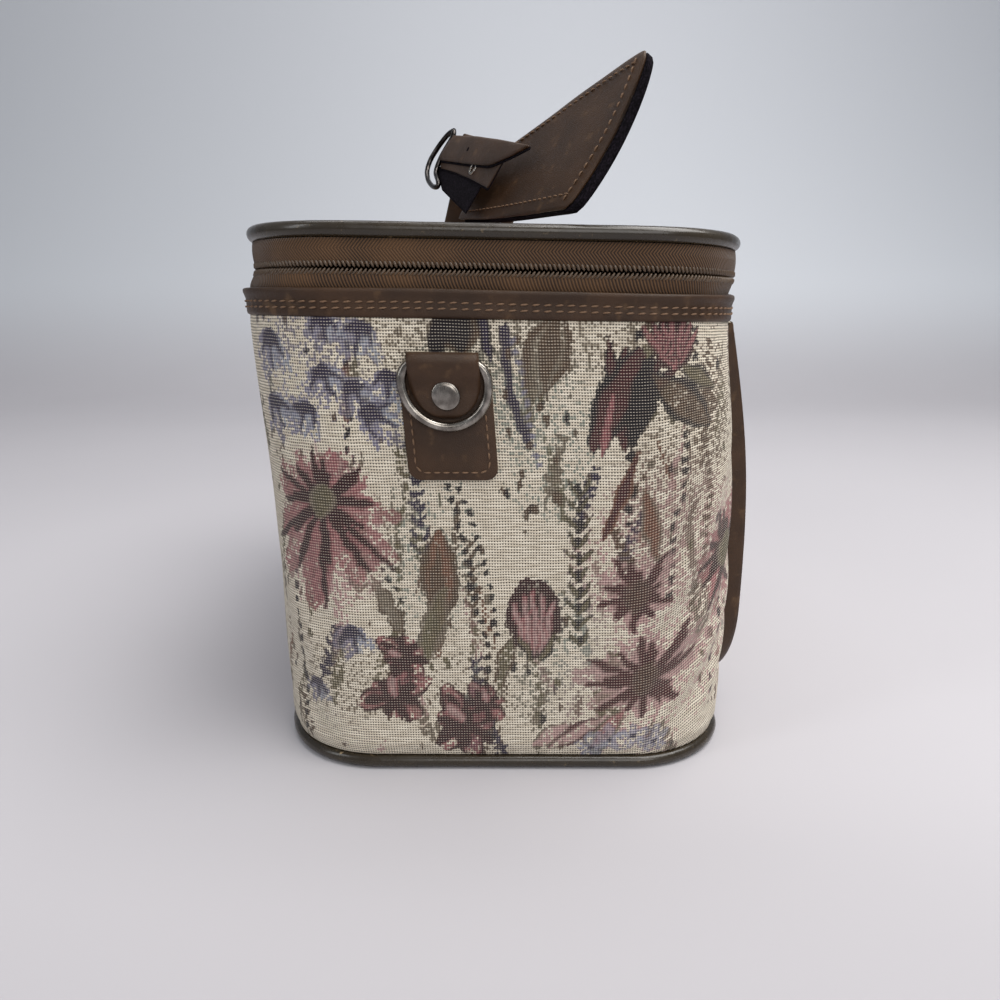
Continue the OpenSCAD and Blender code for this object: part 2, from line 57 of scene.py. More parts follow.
# Sizes taken from the frame
wall_low, wall_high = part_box("wall_panel")
HALF_L, HALF_W = wall_high.x, wall_high.y
WALL_BOTTOM, WALL_TOP = wall_low.z, wall_high.z
CORNER_R = HALF_W - max(v.co.y for v in nodes["wall_panel"].data.vertices if v.co.x > HALF_L - 0.01 * MM)
STRAIGHT_X, STRAIGHT_Y = HALF_L - CORNER_R, HALF_W - CORNER_R
QUARTER = math.pi / 2 * CORNER_R
PERIMETER = 4 * (STRAIGHT_X + STRAIGHT_Y + QUARTER)
LEFT_MID = STRAIGHT_X + QUARTER + STRAIGHT_Y
BAND_LOW, BAND_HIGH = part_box("rim_band")[0].z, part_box("rim_band")[1].z

# Camera of the photograph
CAMERA_AT = (-0.437, 0.0, 0.189)
CAMERA_TILT = math.radians(14)
SENSOR = 36.0
FOCAL_PIXELS = 755
FRAME_PIXELS = 1000

# Weave of the tapestry
THREAD_U = 1.10 * MM
THREAD_V = 1.15 * MM
PAINT_STEP = 1.02 * MM

# How the near end of the soft case leans and how its mouth tilts, as slopes, with the heights for each
LEAN, LEAN_Z = 0.024, 0.11
TILT, TILT_FROM, TILT_TO = 0.017, 0.12, 0.19
MOUTH_SHIFT = 2.8 * MM
MOUTH_HEIGHTS = (0.11, 0.188, 0.196, 0.204)

# Where along the case that lean and tilt fade
FADE_FROM, FADE_TO = -0.125, -0.088


def screen(r, g, b):
    """A linear colour from its usual screen values."""
    return tuple(((c / 255 + 0.055) / 1.055) ** 2.4 for c in (r, g, b))


CREAM = screen(232, 222, 203)
CREAM_SHADE = screen(202, 190, 170)
GAP_DARK = screen(34, 27, 24)
BURGUNDY = screen(54, 18, 26)
ROSE = screen(160, 100, 102)
DUSTY = screen(186, 150, 146)
VIOLET = screen(50, 43, 68)
LAVENDER = screen(136, 133, 152)
SKY = screen(168, 174, 186)
CHARCOAL = screen(24, 21, 30)
MAROON = screen(78, 36, 40)
BROWN = screen(90, 70, 54)
OLIVE = screen(104, 96, 72)
RUST = screen(118, 76, 56)
TAUPE = screen(122, 110, 94)
SAGE = screen(142, 146, 134)


# Places round the wall

def rim(s):
    """Points and outward normals of the wall's outline, s metres along it from the middle of the back."""
    s = np.mod(np.asarray(s, float), PERIMETER)
    wide, deep = 2 * STRAIGHT_X, 2 * STRAIGHT_Y
    lengths = [STRAIGHT_X, QUARTER, deep, QUARTER, wide, QUARTER, deep, QUARTER, STRAIGHT_X]
    starts = np.concatenate([[0], np.cumsum(lengths)])
    point = np.zeros(s.shape + (2,))
    normal = np.zeros(s.shape + (2,))
    corner_x, corner_y = [-1, -1, 1, 1], [1, -1, -1, 1]
    for k in range(9):
        inside = (s >= starts[k]) & (s <= starts[k + 1])
        t = s[inside] - starts[k]
        if k % 2:
            c = k // 2
            angle = math.pi / 2 * (c + 1) + t / CORNER_R
            n = np.stack([np.cos(angle), np.sin(angle)], -1)
            p = np.array([corner_x[c] * STRAIGHT_X, corner_y[c] * STRAIGHT_Y]) + CORNER_R * n
        else:
            angle = math.pi / 2 * (k // 2 + 1)
            n = np.tile([math.cos(angle), math.sin(angle)], (len(t), 1))
            forward = np.array([-math.sin(angle), math.cos(angle)])
            begin = {0: (0, HALF_W), 2: (-HALF_L, STRAIGHT_Y), 4: (-STRAIGHT_X, -HALF_W),
                     6: (HALF_L, -STRAIGHT_Y), 8: (STRAIGHT_X, HALF_W)}[k]
            p = np.array(begin) + t[:, None] * forward
        point[inside] = p
        normal[inside] = n
    return point, normal


def ring_points(s, off, z):
    """Points off metres outside the wall's outline, for columns s and for rows of off and z."""
    off, z = np.broadcast_arrays(np.atleast_2d(off), np.atleast_2d(z))
    shape = np.broadcast_shapes((len(s), 1), off.shape)
    point, normal = rim(s)
    flat = point[:, None, :] + normal[:, None, :] * np.broadcast_to(off, shape)[..., None]
    return raised(flat, z)


def columns(step):
    """Even places round the whole outline, the last one step short of the first."""
    return np.linspace(0, PERIMETER, int(round(PERIMETER / step)), endpoint=False)


def ripple(a, b, seed):
    """A smooth field between about -1 and 1 that looks random."""
    return (np.sin(a * 1.00 + b * 0.63 + seed) + np.sin(a * -0.71 + b * 1.37 + 2.3 * seed + 1.1)
            + np.sin(a * 1.93 - b * 0.84 + 4.1 * seed + 0.4) * 0.6) / 2.6


def smooth(value, low, high):
    """A soft step from 0 at low to 1 at high."""
    t = np.clip((value - low) / (high - low), 0, 1)
    return t * t * (3 - 2 * t)


def window(value, low, full, fade, end):
    """A soft step up from low to full, and down again from fade to end."""
    return smooth(value, low, full) * (1 - smooth(value, fade, end))


def waves(height, x, y, wide, tall, seed):
    """Soft waves over places x and y; their height and size are in millimetres."""
    return height * MM * ripple(x / MM / wide, y / MM / tall, seed)


def full_turn(count):
    """Even angles round a full turn."""
    return np.arange(count) * 2 * math.pi / count


def raised(flat, height):
    """Points of a plane with a height as their third coordinate."""
    return np.concatenate([flat, np.broadcast_to(height, flat.shape[:-1])[..., None]], -1)


def layered(outer, inner):
    """The rows of a sheet's outer face and then, the other way, of its inner face."""
    return np.concatenate([outer, inner[:, ::-1]], 1)


# Meshes and pieces

def grid_mesh(name, points, u, v, closed_u=False, closed_v=False):
    """A mesh of quads over a grid of points; u and v are weave coordinates by column and row or by point."""
    m, n = points.shape[:2]
    a, b = np.meshgrid(np.arange(m - (not closed_u)), np.arange(n - (not closed_v)), indexing="ij")
    a, b = a.ravel(), b.ravel()
    corner_a = np.stack([a, a + 1, a + 1, a], -1)
    corner_b = np.stack([b, b, b + 1, b + 1], -1)
    faces = (corner_a % m) * n + corner_b % n
    mesh = bpy.data.meshes.new(name)
    mesh.from_pydata(points.reshape(-1, 3).tolist(), [], faces.tolist())
    layer = mesh.uv_layers.new(name="weave")
    u, v = np.asarray(u, float), np.asarray(v, float)
    if u.ndim == 1:
        u, v = np.broadcast_arrays(u[:, None], v[None, :])
    weave = np.stack([u[corner_a, corner_b], v[corner_a, corner_b]], -1)
    layer.data.foreach_set("uv", weave.astype(np.float32).ravel())
    mesh.shade_smooth()
    return mesh


def distance(points):
    """Distance along a line of points."""
    return np.append(0, np.cumsum(np.linalg.norm(np.diff(points, axis=0), axis=1)))


def run_length(points):
    """Distance along a line of points, with one more value for the way back to its start."""
    return distance(np.concatenate([points, points[:1]]))


def on_line(points, at):
    """Places on a line of points, at distances along it."""
    run = distance(points)
    return np.stack([np.interp(at, run, part) for part in points.T], -1)


def rework(mesh, change):
    """Runs a change on a mesh while it is a bmesh."""
    work = bmesh.new()
    work.from_mesh(mesh)
    change(work)
    work.to_mesh(mesh)
    work.free()


def close_ends(mesh):
    """Fills the open ends of a swept mesh."""
    def fill(work):
        open_edges = [e for e in work.edges if e.is_boundary]
        bmesh.ops.holes_fill(work, edges=open_edges, sides=0)

    rework(mesh, fill)


def flip_faces(mesh):
    """Turns the faces of a mesh to its other side."""
    rework(mesh, lambda work: bmesh.ops.reverse_faces(work, faces=work.faces))


def join_middle(mesh):
    """Joins the spokes of a fan at its middle."""
    rework(mesh, lambda work: bmesh.ops.remove_doubles(work, verts=work.verts, dist=0.001 * MM))


def settle(mesh):
    """Leans the near end of the soft case and tilts its mouth there."""
    at = np.zeros(len(mesh.vertices) * 3, np.float32)
    mesh.vertices.foreach_get("co", at)
    at = at.reshape(-1, 3)
    x, y, z = at.T.copy()
    near = 1 - smooth(x, FADE_FROM, FADE_TO)
    shift = MOUTH_SHIFT * window(z, *MOUTH_HEIGHTS)
    at[:, 1] = y + near * (LEAN * (z - LEAN_Z) + shift)
    at[:, 2] = z + near * TILT * y * smooth(z, TILT_FROM, TILT_TO)
    mesh.vertices.foreach_set("co", at.ravel())
    mesh.update()


def piece(name, mesh, material, body, *replaced):
    """Adds a mesh to the scene as a piece of the object."""
    if not name.startswith("tag_"):
        settle(mesh)
    obj = bpy.data.objects.new(name, mesh)
    scene.collection.objects.link(obj)
    mesh.materials.append(material)
    if replaced:
        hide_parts(*replaced)
    if body:
        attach(obj, body)
    return obj


def ring_mesh(name, s, off, z):
    """A closed profile swept round the outline; off and z hold one profile, or a row per column."""
    points = ring_points(s, off, z)
    return grid_mesh(name, points, np.append(s, PERIMETER), run_length(points[0]), True, True)


FLAT_ANGLE, EDGE_ANGLE, SHADE_ANGLE = math.radians(1), math.radians(40), math.radians(45)


def softened(node, bevel, material, body):
    """A copy of a node with rounded edges, which stands for that node."""
    work = bmesh.new()
    work.from_mesh(nodes[node].data)
    bmesh.ops.remove_doubles(work, verts=work.verts, dist=0.001 * MM)
    bmesh.ops.dissolve_limit(work, angle_limit=FLAT_ANGLE, verts=work.verts, edges=work.edges)
    sharp = [e for e in work.edges if len(e.link_faces) == 2 and e.calc_face_angle() > EDGE_ANGLE]
    bmesh.ops.bevel(work, geom=sharp, offset=bevel, segments=3, profile=0.5, affect="EDGES",
                    clamp_overlap=True)
    name = node + "_cover"
    mesh = bpy.data.meshes.new(name)
    work.to_mesh(mesh)
    work.free()
    mesh.shade_smooth()
    mesh.set_sharp_from_angle(angle=SHADE_ANGLE)
    return piece(name, mesh, material, body, node)


def bead_mesh(name, verts):
    """Closed beads in one mesh; verts holds, for each bead, rings of points from one end to the other."""
    count, rings, sides = verts.shape[:3]
    faces = []
    for i in range(rings - 1):
        for j in range(sides):
            k = (j + 1) % sides
            faces.append([i * sides + j, i * sides + k, (i + 1) * sides + k, (i + 1) * sides + j])
    faces.append(list(range(sides))[::-1])
    faces.append(list(range((rings - 1) * sides, rings * sides)))
    step = rings * sides
    every = [[index + step * bead for index in face] for bead in range(count) for face in faces]
    mesh = bpy.data.meshes.new(name)
    mesh.from_pydata(verts.reshape(-1, 3).tolist(), [], every)
    mesh.shade_smooth()
    return mesh


STITCH_SECTIONS = 5
STITCH_SIDES = 6


def stitch_mesh(name, centres, along, out, length, radius):
    """Thread stitches as short arched capsules, merged into one mesh."""
    t = np.linspace(-0.5, 0.5, STITCH_SECTIONS)[:, None]
    turn = full_turn(STITCH_SIDES)
    taper = np.sqrt(np.clip(1.02 - (2 * t) ** 4, 0.05, 1))
    lift = radius * (1 - (2 * t) ** 2) * 0.7
    a = np.broadcast_to(t * length, (STITCH_SECTIONS, STITCH_SIDES))
    b = taper * np.cos(turn) * radius
    c = taper * np.sin(turn) * radius + lift
    side = np.cross(out, along)
    verts = (centres[:, None, None] + along[:, None, None] * a[..., None]
             + side[:, None, None] * b[..., None] + out[:, None, None] * c[..., None])
    return bead_mesh(name, verts)


def resample(points, pitch):
    """Centres and directions at an even pitch along a line of points."""
    points = np.asarray(points, float)
    at = np.arange(pitch / 2, distance(points)[-1], pitch)
    along = on_line(points, at + pitch / 4) - on_line(points, at - pitch / 4)
    return on_line(points, at), along / np.linalg.norm(along, axis=1)[:, None]


def stitch_line(name, points, out, pitch, radius, body):
    """A row of stitches along a line of points, on a surface that faces out."""
    centre, along = resample(points, pitch)
    out = np.broadcast_to(np.asarray(out, float), centre.shape)
    mesh = stitch_mesh(name, centre, along, out, pitch * 0.74, radius)
    return piece(name, mesh, thread_tan, body)


# Materials

class Shader:
    """Builds one node material around a Principled shader."""

    def __init__(self, name):
        self.material = bpy.data.materials.new(name)
        self.material.use_nodes = True
        self.tree = self.material.node_tree
        self.main = self.tree.nodes["Principled BSDF"]

    def set(self, **values):
        """Sets plain values of the main shader."""
        for key, value in values.items():
            self.main.inputs[key.replace("_", " ")].default_value = value
        return self

    def node(self, kind, **properties):
        made = self.tree.nodes.new("ShaderNode" + kind)
        for key, value in properties.items():
            setattr(made, key, value)
        return made

    def feed(self, socket, value):
        """Links a socket's value, or sets a number or a colour."""
        if isinstance(value, bpy.types.NodeSocket):
            self.tree.links.new(value, socket)
        elif isinstance(value, tuple) and socket.type == "RGBA":
            socket.default_value = (*value[:3], 1)
        else:
            socket.default_value = value

    def math(self, operation, *values):
        made = self.node("Math", operation=operation)
        for socket, value in zip(made.inputs, values):
            self.feed(socket, value)
        return made.outputs[0]

    def step(self, value, low, high):
        """A soft step from 0 at low to 1 at high."""
        made = self.node("MapRange", interpolation_type="SMOOTHSTEP")
        for socket, given in zip(made.inputs, (value, low, high, 0.0, 1.0)):
            self.feed(socket, given)
        return made.outputs[0]

    def times(self, first, second):
        return self.math("MULTIPLY", first, second)

    def scaled(self, value, by, plus):
        return self.math("MULTIPLY_ADD", value, by, plus)

    def fold(self, value):
        """Distance from the middle of each whole step of a value, 1 at the step's ends."""
        return self.math("ABSOLUTE", self.scaled(self.math("FRACT", value), 2.0, -1.0))

    def mix(self, factor, first, second):
        made = self.node("Mix", data_type="RGBA")
        for key, value in ((0, factor), (6, first), (7, second)):
            self.feed(made.inputs[key], value)
        return made.outputs[2]

    def tinted(self, colour, mask, share, other):
        """A colour mixed towards another one by a share of a mask."""
        return self.mix(self.times(mask, share), colour, other)

    def place(self):
        return self.node("TexCoord").outputs["Object"]

    def split(self, vector):
        made = self.node("SeparateXYZ")
        self.feed(made.inputs[0], vector)
        return tuple(made.outputs)

    def weave(self):
        return self.split(self.node("UVMap", uv_map="weave").outputs[0])[:2]

    def vector(self, x, y, z=0.0):
        made = self.node("CombineXYZ")
        for socket, value in zip(made.inputs, (x, y, z)):
            self.feed(socket, value)
        return made.outputs[0]

    def noise(self, vector, scale, detail=2.0):
        made = self.node("TexNoise")
        self.feed(made.inputs["Vector"], vector)
        made.inputs["Scale"].default_value = scale
        made.inputs["Detail"].default_value = detail
        return made.outputs[0]

    def bump(self, height, distance, strength=1.0):
        made = self.node("Bump")
        made.inputs["Strength"].default_value = strength
        made.inputs["Distance"].default_value = distance
        self.feed(made.inputs["Height"], height)
        return made.outputs[0]

    def finish(self, colour=None, roughness=None, normal=None):
        """Feeds what is given into the main shader."""
        for key, value in (("Base Color", colour), ("Roughness", roughness), ("Normal", normal)):
            if value is not None:
                self.feed(self.main.inputs[key], value)
        return self.material


def tapestry_material():
    """Cream weft bars over dark warp, with the motif's threads floating across them."""
    s = Shader("tapestry").set(Roughness=0.9, Specular_IOR_Level=0.2, Sheen_Weight=0.12, Sheen_Roughness=0.5)
    u, v = s.weave()
    drift = s.noise(s.vector(u, v), 70.0)
    wander = s.noise(s.vector(v, u), 95.0)
    across = s.scaled(s.math("SUBTRACT", drift, 0.5), 0.8, s.math("DIVIDE", u, THREAD_U))
    up = s.scaled(s.math("SUBTRACT", wander, 0.5), 0.8, s.math("DIVIDE", v, THREAD_V))
    from_middle_u = s.fold(across)
    from_middle_v = s.fold(up)
    cell = s.node("TexWhiteNoise", noise_dimensions="2D")
    s.feed(cell.inputs["Vector"], s.vector(s.math("FLOOR", across), s.math("FLOOR", up)))
    chance = cell.outputs["Value"]

    motif = s.node("Attribute", attribute_name="motif")
    cover = s.step(s.scaled(chance, -0.72, motif.outputs["Alpha"]), 0.0, 0.2)
    bar_middle = s.math("SUBTRACT", 1.0, s.step(from_middle_v, 0.10, 0.40))
    between = s.step(from_middle_u, 0.25, 0.7)
    dash = s.times(bar_middle, between)
    shown = s.times(cover, s.scaled(dash, -0.62, 1.0))

    slub = s.noise(s.vector(s.times(u, 140.0), s.times(v, 800.0)), 1.0)
    ground = s.mix(s.step(slub, 0.3, 0.7), CREAM_SHADE, CREAM)
    tint = s.mix(s.times(chance, 0.4), motif.outputs["Color"], (0.02, 0.016, 0.018))
    thread = s.mix(shown, ground, tint)

    hole_row = s.step(from_middle_v, 0.42, 0.64)
    hole_column = s.math("SUBTRACT", 1.0, s.step(from_middle_u, 0.28, 0.60))
    hole = s.times(hole_row, hole_column)
    ground_hole = s.times(hole, s.scaled(cover, -0.4, 0.95))
    colour = s.mix(ground_hole, thread, GAP_DARK)

    bar = s.math("SUBTRACT", 1.0, s.math("POWER", from_middle_v, 2.0))
    height = s.scaled(hole, -0.6, bar)
    return s.finish(colour, None, s.bump(height, 0.4 * MM, 0.85))


def leather_material(name, base, light, rough=0.46):
    """Smooth leather with a fine grain, broad shading, creases and rubbed spots."""
    s = Shader(name).set(Specular_IOR_Level=0.32)
    place = s.place()
    cloud = s.noise(place, 55.0, 3.0)
    speck = s.noise(place, 900.0, 2.0)
    rubbed = s.step(s.noise(place, 170.0, 6.0), 0.56, 0.76)
    dark = tuple(c * 0.62 for c in base)
    colour = s.mix(s.step(cloud, 0.3, 0.7), dark, base)
    colour = s.tinted(colour, rubbed, 0.45, light)
    crease = s.step(s.noise(place, 330.0, 3.0), 0.60, 0.68)
    colour = s.tinted(colour, crease, 0.22, dark)
    pore = s.node("TexVoronoi", feature="DISTANCE_TO_EDGE")
    s.feed(pore.inputs["Vector"], place)
    pore.inputs["Scale"].default_value = 1300.0
    grain = s.step(pore.outputs["Distance"], 0.0, 0.25)
    height = s.scaled(grain, 0.8, s.times(cloud, 2.0))
    roughness = s.scaled(speck, 0.25, rough - 0.12)
    return s.finish(colour, roughness, s.bump(height, 0.08 * MM, 0.7))


def vinyl_material():
    """Olive brown vinyl with a shine, faint scuffs and small nicks."""
    s = Shader("vinyl_piping").set(Specular_IOR_Level=0.45, Coat_Weight=0.25, Coat_Roughness=0.15)
    place = s.place()
    cloud = s.noise(place, 40.0, 3.0)
    fine = s.noise(place, 260.0, 4.0)
    scuff = s.step(s.noise(place, 420.0, 4.0), 0.64, 0.76)
    nick = s.step(s.noise(place, 120.0, 6.0), 0.70, 0.74)
    colour = s.mix(cloud, screen(26, 20, 12), screen(54, 44, 28))
    colour = s.tinted(colour, scuff, 0.45, screen(122, 104, 76))
    colour = s.tinted(colour, nick, 0.8, screen(150, 130, 100))
    roughness = s.scaled(fine, 0.3, 0.14)
    return s.finish(colour, roughness, s.bump(s.math("ADD", cloud, fine), 0.22 * MM, 0.6))


HERRINGBONE = 10.6 * MM
TWILL = 1.25 * MM


def tape_material():
    """Brown zip tape in a herringbone twill, whose stripes run along the tape."""
    s = Shader("zip_tape")
    s.set(Roughness=0.72, Specular_IOR_Level=0.3, Sheen_Weight=0.15, Sheen_Roughness=0.4)
    u, v = s.weave()
    fold = s.math("PINGPONG", v, HERRINGBONE / 2)
    ridge = s.fold(s.math("DIVIDE", s.scaled(fold, 0.8, u), TWILL))
    yarn = s.noise(s.vector(s.times(u, 900.0), s.times(v, 900.0)), 1.0)
    broad = s.noise(s.place(), 45.0, 3.0)
    colour = s.mix(s.step(ridge, 0.2, 0.8), screen(34, 22, 13), screen(98, 70, 44))
    colour = s.tinted(colour, yarn, 0.45, screen(58, 40, 25))
    colour = s.tinted(colour, s.step(broad, 0.45, 0.75), 0.3, screen(112, 80, 50))
    return s.finish(colour, None, s.bump(ridge, 0.3 * MM, 0.8))


def coil_material():
    """Brown nylon coil."""
    s = Shader("zip_teeth").set(Specular_IOR_Level=0.5)
    grain = s.noise(s.place(), 500.0)
    colour = s.mix(grain, screen(62, 48, 36), screen(104, 86, 68))
    return s.finish(colour, s.scaled(grain, 0.2, 0.28), s.bump(grain, 0.05 * MM))


def nickel_material(name, dark, light, rough):
    """Brushed metal plate, a little worn."""
    s = Shader(name).set(Metallic=1.0)
    place = s.place()
    cloud = s.noise(place, 220.0, 4.0)
    stretch = s.node("Mapping")
    stretch.inputs["Scale"].default_value = (3000, 3000, 240)
    s.feed(stretch.inputs["Vector"], place)
    brush = s.noise(stretch.outputs[0], 1.0)
    colour = s.mix(s.step(cloud, 0.35, 0.7), dark, light)
    roughness = s.scaled(brush, 0.18, rough)
    return s.finish(colour, roughness, s.bump(brush, 0.02 * MM, 0.4))


def woven_material(name, dark, light, pitch):
    """A plain fine weave, such as a lining or webbing."""
    s = Shader(name).set(Roughness=0.85, Specular_IOR_Level=0.2, Sheen_Weight=0.2, Sheen_Roughness=0.5)
    place = s.place()
    x, y, z = (s.math("SINE", s.times(part, 2 * math.pi / pitch)) for part in s.split(place))
    weave = s.math("ADD", s.times(x, z), s.times(y, z))
    weave = s.math("ADD", weave, s.times(x, y))
    cloud = s.noise(place, 60.0, 4.0)
    colour = s.mix(s.scaled(weave, 0.2, cloud), dark, light)
    return s.finish(colour, None, s.bump(weave, 0.1 * MM, 0.5))


def felt_material():
    """Black felt with a faint violet nap."""
    s = Shader("felt").set(Roughness=0.95, Specular_IOR_Level=0.05)
    nap = s.noise(s.place(), 1400.0, 4.0)
    colour = s.mix(s.step(nap, 0.35, 0.75), screen(12, 11, 13), screen(38, 33, 40))
    return s.finish(colour, None, s.bump(nap, 0.08 * MM))


def thread_material():
    """Tan sewing thread with a twist."""
    s = Shader("thread_tan").set(Roughness=0.6, Specular_IOR_Level=0.3)
    twist = s.noise(s.place(), 1600.0, 2.0)
    colour = s.mix(twist, screen(78, 58, 44), screen(142, 112, 86))
    return s.finish(colour, None, s.bump(twist, 0.08 * MM))


tapestry = tapestry_material()
leather = leather_material("brown_leather", screen(66, 45, 28), screen(108, 81, 54))
vinyl = vinyl_material()
tape_cloth = tape_material()
coil = coil_material()
nickel = nickel_material("nickel", screen(112, 106, 100), screen(168, 162, 154), 0.16)
dark_metal = nickel_material("dark_metal", screen(40, 37, 36), screen(74, 70, 68), 0.1)
lining = woven_material("lining", screen(104, 96, 84), screen(138, 129, 114), 0.7 * MM)
felt = felt_material()
thread_tan = thread_material()


# The floral motif, as soft-edged fields of thread colour

class Cloth:
    """Lays thread colours on points of the cloth. Places are in millimetres, from a panel's middle line."""

    def __init__(self, u, v, wrap=None):
        self.u, self.v, self.wrap = u / MM, v / MM, wrap / MM if wrap else None
        self.colour = np.zeros((len(u), 3))
        self.cover = np.zeros(len(u))

    def panel(self, u0, v0, flip=1):
        """Measures the points from a panel's middle line and foot, with a small wobble."""
        a = self.u - u0
        if self.wrap:
            a = np.mod(a + self.wrap / 2, self.wrap) - self.wrap / 2
        b = self.v - v0
        self.a = flip * a + 0.9 * ripple(a / 2.1, b / 2.7, 1.7)
        self.b = b + 0.9 * ripple(a / 2.5, b / 2.2, 4.2)

    def lay(self, near, amount, colour):
        """Puts a colour over the points that near picks."""
        amount = np.clip(amount, 0, 1)
        under = self.cover[near] * (1 - amount)
        total = np.maximum(amount + under, 1e-6)
        mixed = (np.asarray(colour) * amount[:, None] + self.colour[near] * under[:, None]) / total[:, None]
        self.colour[near] = mixed
        self.cover[near] = amount + under

    def around(self, at, reach):
        """The points within reach of a place."""
        return np.nonzero((np.abs(self.a - at[0]) < reach) & (np.abs(self.b - at[1]) < reach))[0]

    def petal(self, at, angle, length, width, heart, edge, amount=0.95, point=1.0, fill=None):
        """A petal or leaf from its foot at, with one colour along its middle and another at its edges."""
        near = self.around(at, length + width)
        da, db = self.a[near] - at[0], self.b[near] - at[1]
        c, s = math.cos(math.radians(angle)), math.sin(math.radians(angle))
        t = (da * c + db * s) / length
        w = -da * s + db * c
        half = width / 2 * np.power(np.clip(np.sin(math.pi * np.clip(t, 0, 1)), 0, 1), point) + 1e-3
        side = np.abs(w) / half
        inside = smooth(1.25 - side, 0, 0.35) * smooth(t, 0.0, 0.05) * smooth(1 - t, 0.0, 0.05)
        rimmed = smooth(side, 0.5, 0.85)
        shade = np.asarray(heart) * (1 - rimmed[:, None]) + np.asarray(edge) * rimmed[:, None]
        middle = amount if fill is None else fill
        self.lay(near, inside * (middle + (amount - middle) * rimmed), shade)

    def leaf(self, foot, tip, width, heart, edge, amount=0.9, fill=None):
        """A leaf from its foot to its tip."""
        da, db = tip[0] - foot[0], tip[1] - foot[1]
        angle = math.degrees(math.atan2(db, da))
        self.petal(foot, angle, math.hypot(da, db), width, heart, edge, amount, 1.0, fill)

    def spot(self, at, wide, tall, colour, amount=0.9, soft=0.35):
        """A soft-edged oval."""
        near = self.around(at, max(wide, tall) * 1.5)
        r = np.hypot((self.a[near] - at[0]) / wide, (self.b[near] - at[1]) / tall)
        self.lay(near, amount * smooth(1 + soft / 2 - r, 0, soft), colour)

    def stem(self, points, width, colour, amount=0.9, dash=0.0):
        """A stem along straight runs between points; with a dash length, it is broken into dashes."""
        run = 0
        for p, q in zip(points[:-1], points[1:]):
            length = math.hypot(q[0] - p[0], q[1] - p[1])
            near = self.around(((p[0] + q[0]) / 2, (p[1] + q[1]) / 2), length)
            da, db = self.a[near] - p[0], self.b[near] - p[1]
            ea, eb = (q[0] - p[0]) / length, (q[1] - p[1]) / length
            t = da * ea + db * eb
            bow = 1.2 * np.sin(t / 9 + p[0])
            off = np.abs(-da * eb + db * ea + bow)
            on = smooth(width / 2 + 0.6 - off, 0, 0.8) * (t > -0.5) * (t < length + 0.5)
            if dash:
                on = on * smooth(np.sin((t + run) * math.pi / dash), -0.5, 0.3)
            self.lay(near, on * amount, colour)
            run += length

    def bell(self, at, angle, size):
        """A larkspur flower: a dark crown with three dark lines over a fan of thin pale petals."""
        for k, turn in enumerate((-38, 36, -12, 13)):
            pale = SKY if k % 2 else LAVENDER
            reach = size * (0.8 + 0.1 * (k % 3))
            self.petal(at, angle + turn, reach, size * 0.3, pale, LAVENDER, 0.62, 0.7, 0.42)
        c, s = math.cos(math.radians(angle)), math.sin(math.radians(angle))
        crown = (at[0] + size * 0.2 * c, at[1] + size * 0.2 * s)
        self.spot(crown, size * 0.22, size * 0.15, VIOLET, 0.85)
        for turn in (-34, 4, 38):
            self.petal(at, angle + turn, size * (0.78 - abs(turn) / 200), 1.9, VIOLET, VIOLET, 0.85, 0.5)

    def daisy(self, at, up, side, down, count, heart, edge, eye=0.97):
        """A flower with longer petals where it droops, dark lines between them and a dark eye."""
        def spoke(k, shift):
            angle = 360 * (k + shift) / count + 7 * math.sin(k * 2.4)
            droop = math.sin(math.radians(angle))
            return angle, side + (up - side) * max(droop, 0) + (down - side) * max(-droop, 0)

        for k in range(count):
            angle, reach = spoke(k, 0)
            reach *= 1 + 0.14 * math.sin(k * 5.1 + at[0])
            self.petal(at, angle, reach, reach * 0.24 + 1.2, heart, heart, 0.66, 0.55, 0.4)
        for k in range(count):
            angle, reach = spoke(k, 0.5)
            self.petal(at, angle, reach * (0.62 + 0.22 * (k % 3)), 3.0, edge, edge, 0.98, 0.4)
        self.spot(at, 6.6, 8.4, edge, 0.8 * eye)
        self.petal((at[0] - 2.6, at[1] - 7.4), 70, 15.5, 10.5, OLIVE, TAUPE, eye, 0.6)

    def rose(self, at, size, turn):
        """A small flower of ragged overlapping petals."""
        for k in range(6):
            angle = turn + 60 * k + 11 * math.sin(3.1 * k + turn)
            reach = size * (0.86 + 0.22 * math.sin(2.3 * k + turn))
            self.petal(at, angle, reach, size * 0.6, ROSE, BURGUNDY, 0.97, 0.55, 0.5)
        for k in range(7):
            reach = size * (0.66 + 0.2 * (k % 2))
            self.petal(at, turn + 17 + 51 * k, reach, size * 0.26, BURGUNDY, BURGUNDY, 0.97, 0.5)
        self.petal(at, turn + 80, size * 0.6, size * 0.26, DUSTY, ROSE, 0.9, 0.6)

    def rose_pale(self, at, size):
        """A small pale blue flower of five petals."""
        for k in range(5):
            self.petal(at, 20 + 72 * k, size, size * 0.5, SKY, LAVENDER, 0.66, 0.6, 0.4)
        self.spot(at, 1.4, 1.4, VIOLET, 0.9)

    def sprig(self, foot, tip, colour, amount, leaves):
        """A thin stem with pairs of small leaves or dashes."""
        self.stem([foot, tip], 1.2, colour, amount, 2.3)
        da, db = tip[0] - foot[0], tip[1] - foot[1]
        length = math.hypot(da, db)
        angle = math.degrees(math.atan2(db, da))
        for k in range(leaves):
            share = (k + 0.6) / leaves
            at = (foot[0] + da * share, foot[1] + db * share)
            reach = length / leaves * (1.25 - 0.45 * share)
            for side in (-38, 38):
                self.petal(at, angle + side, reach, 2.0, colour, colour, amount, 0.7)


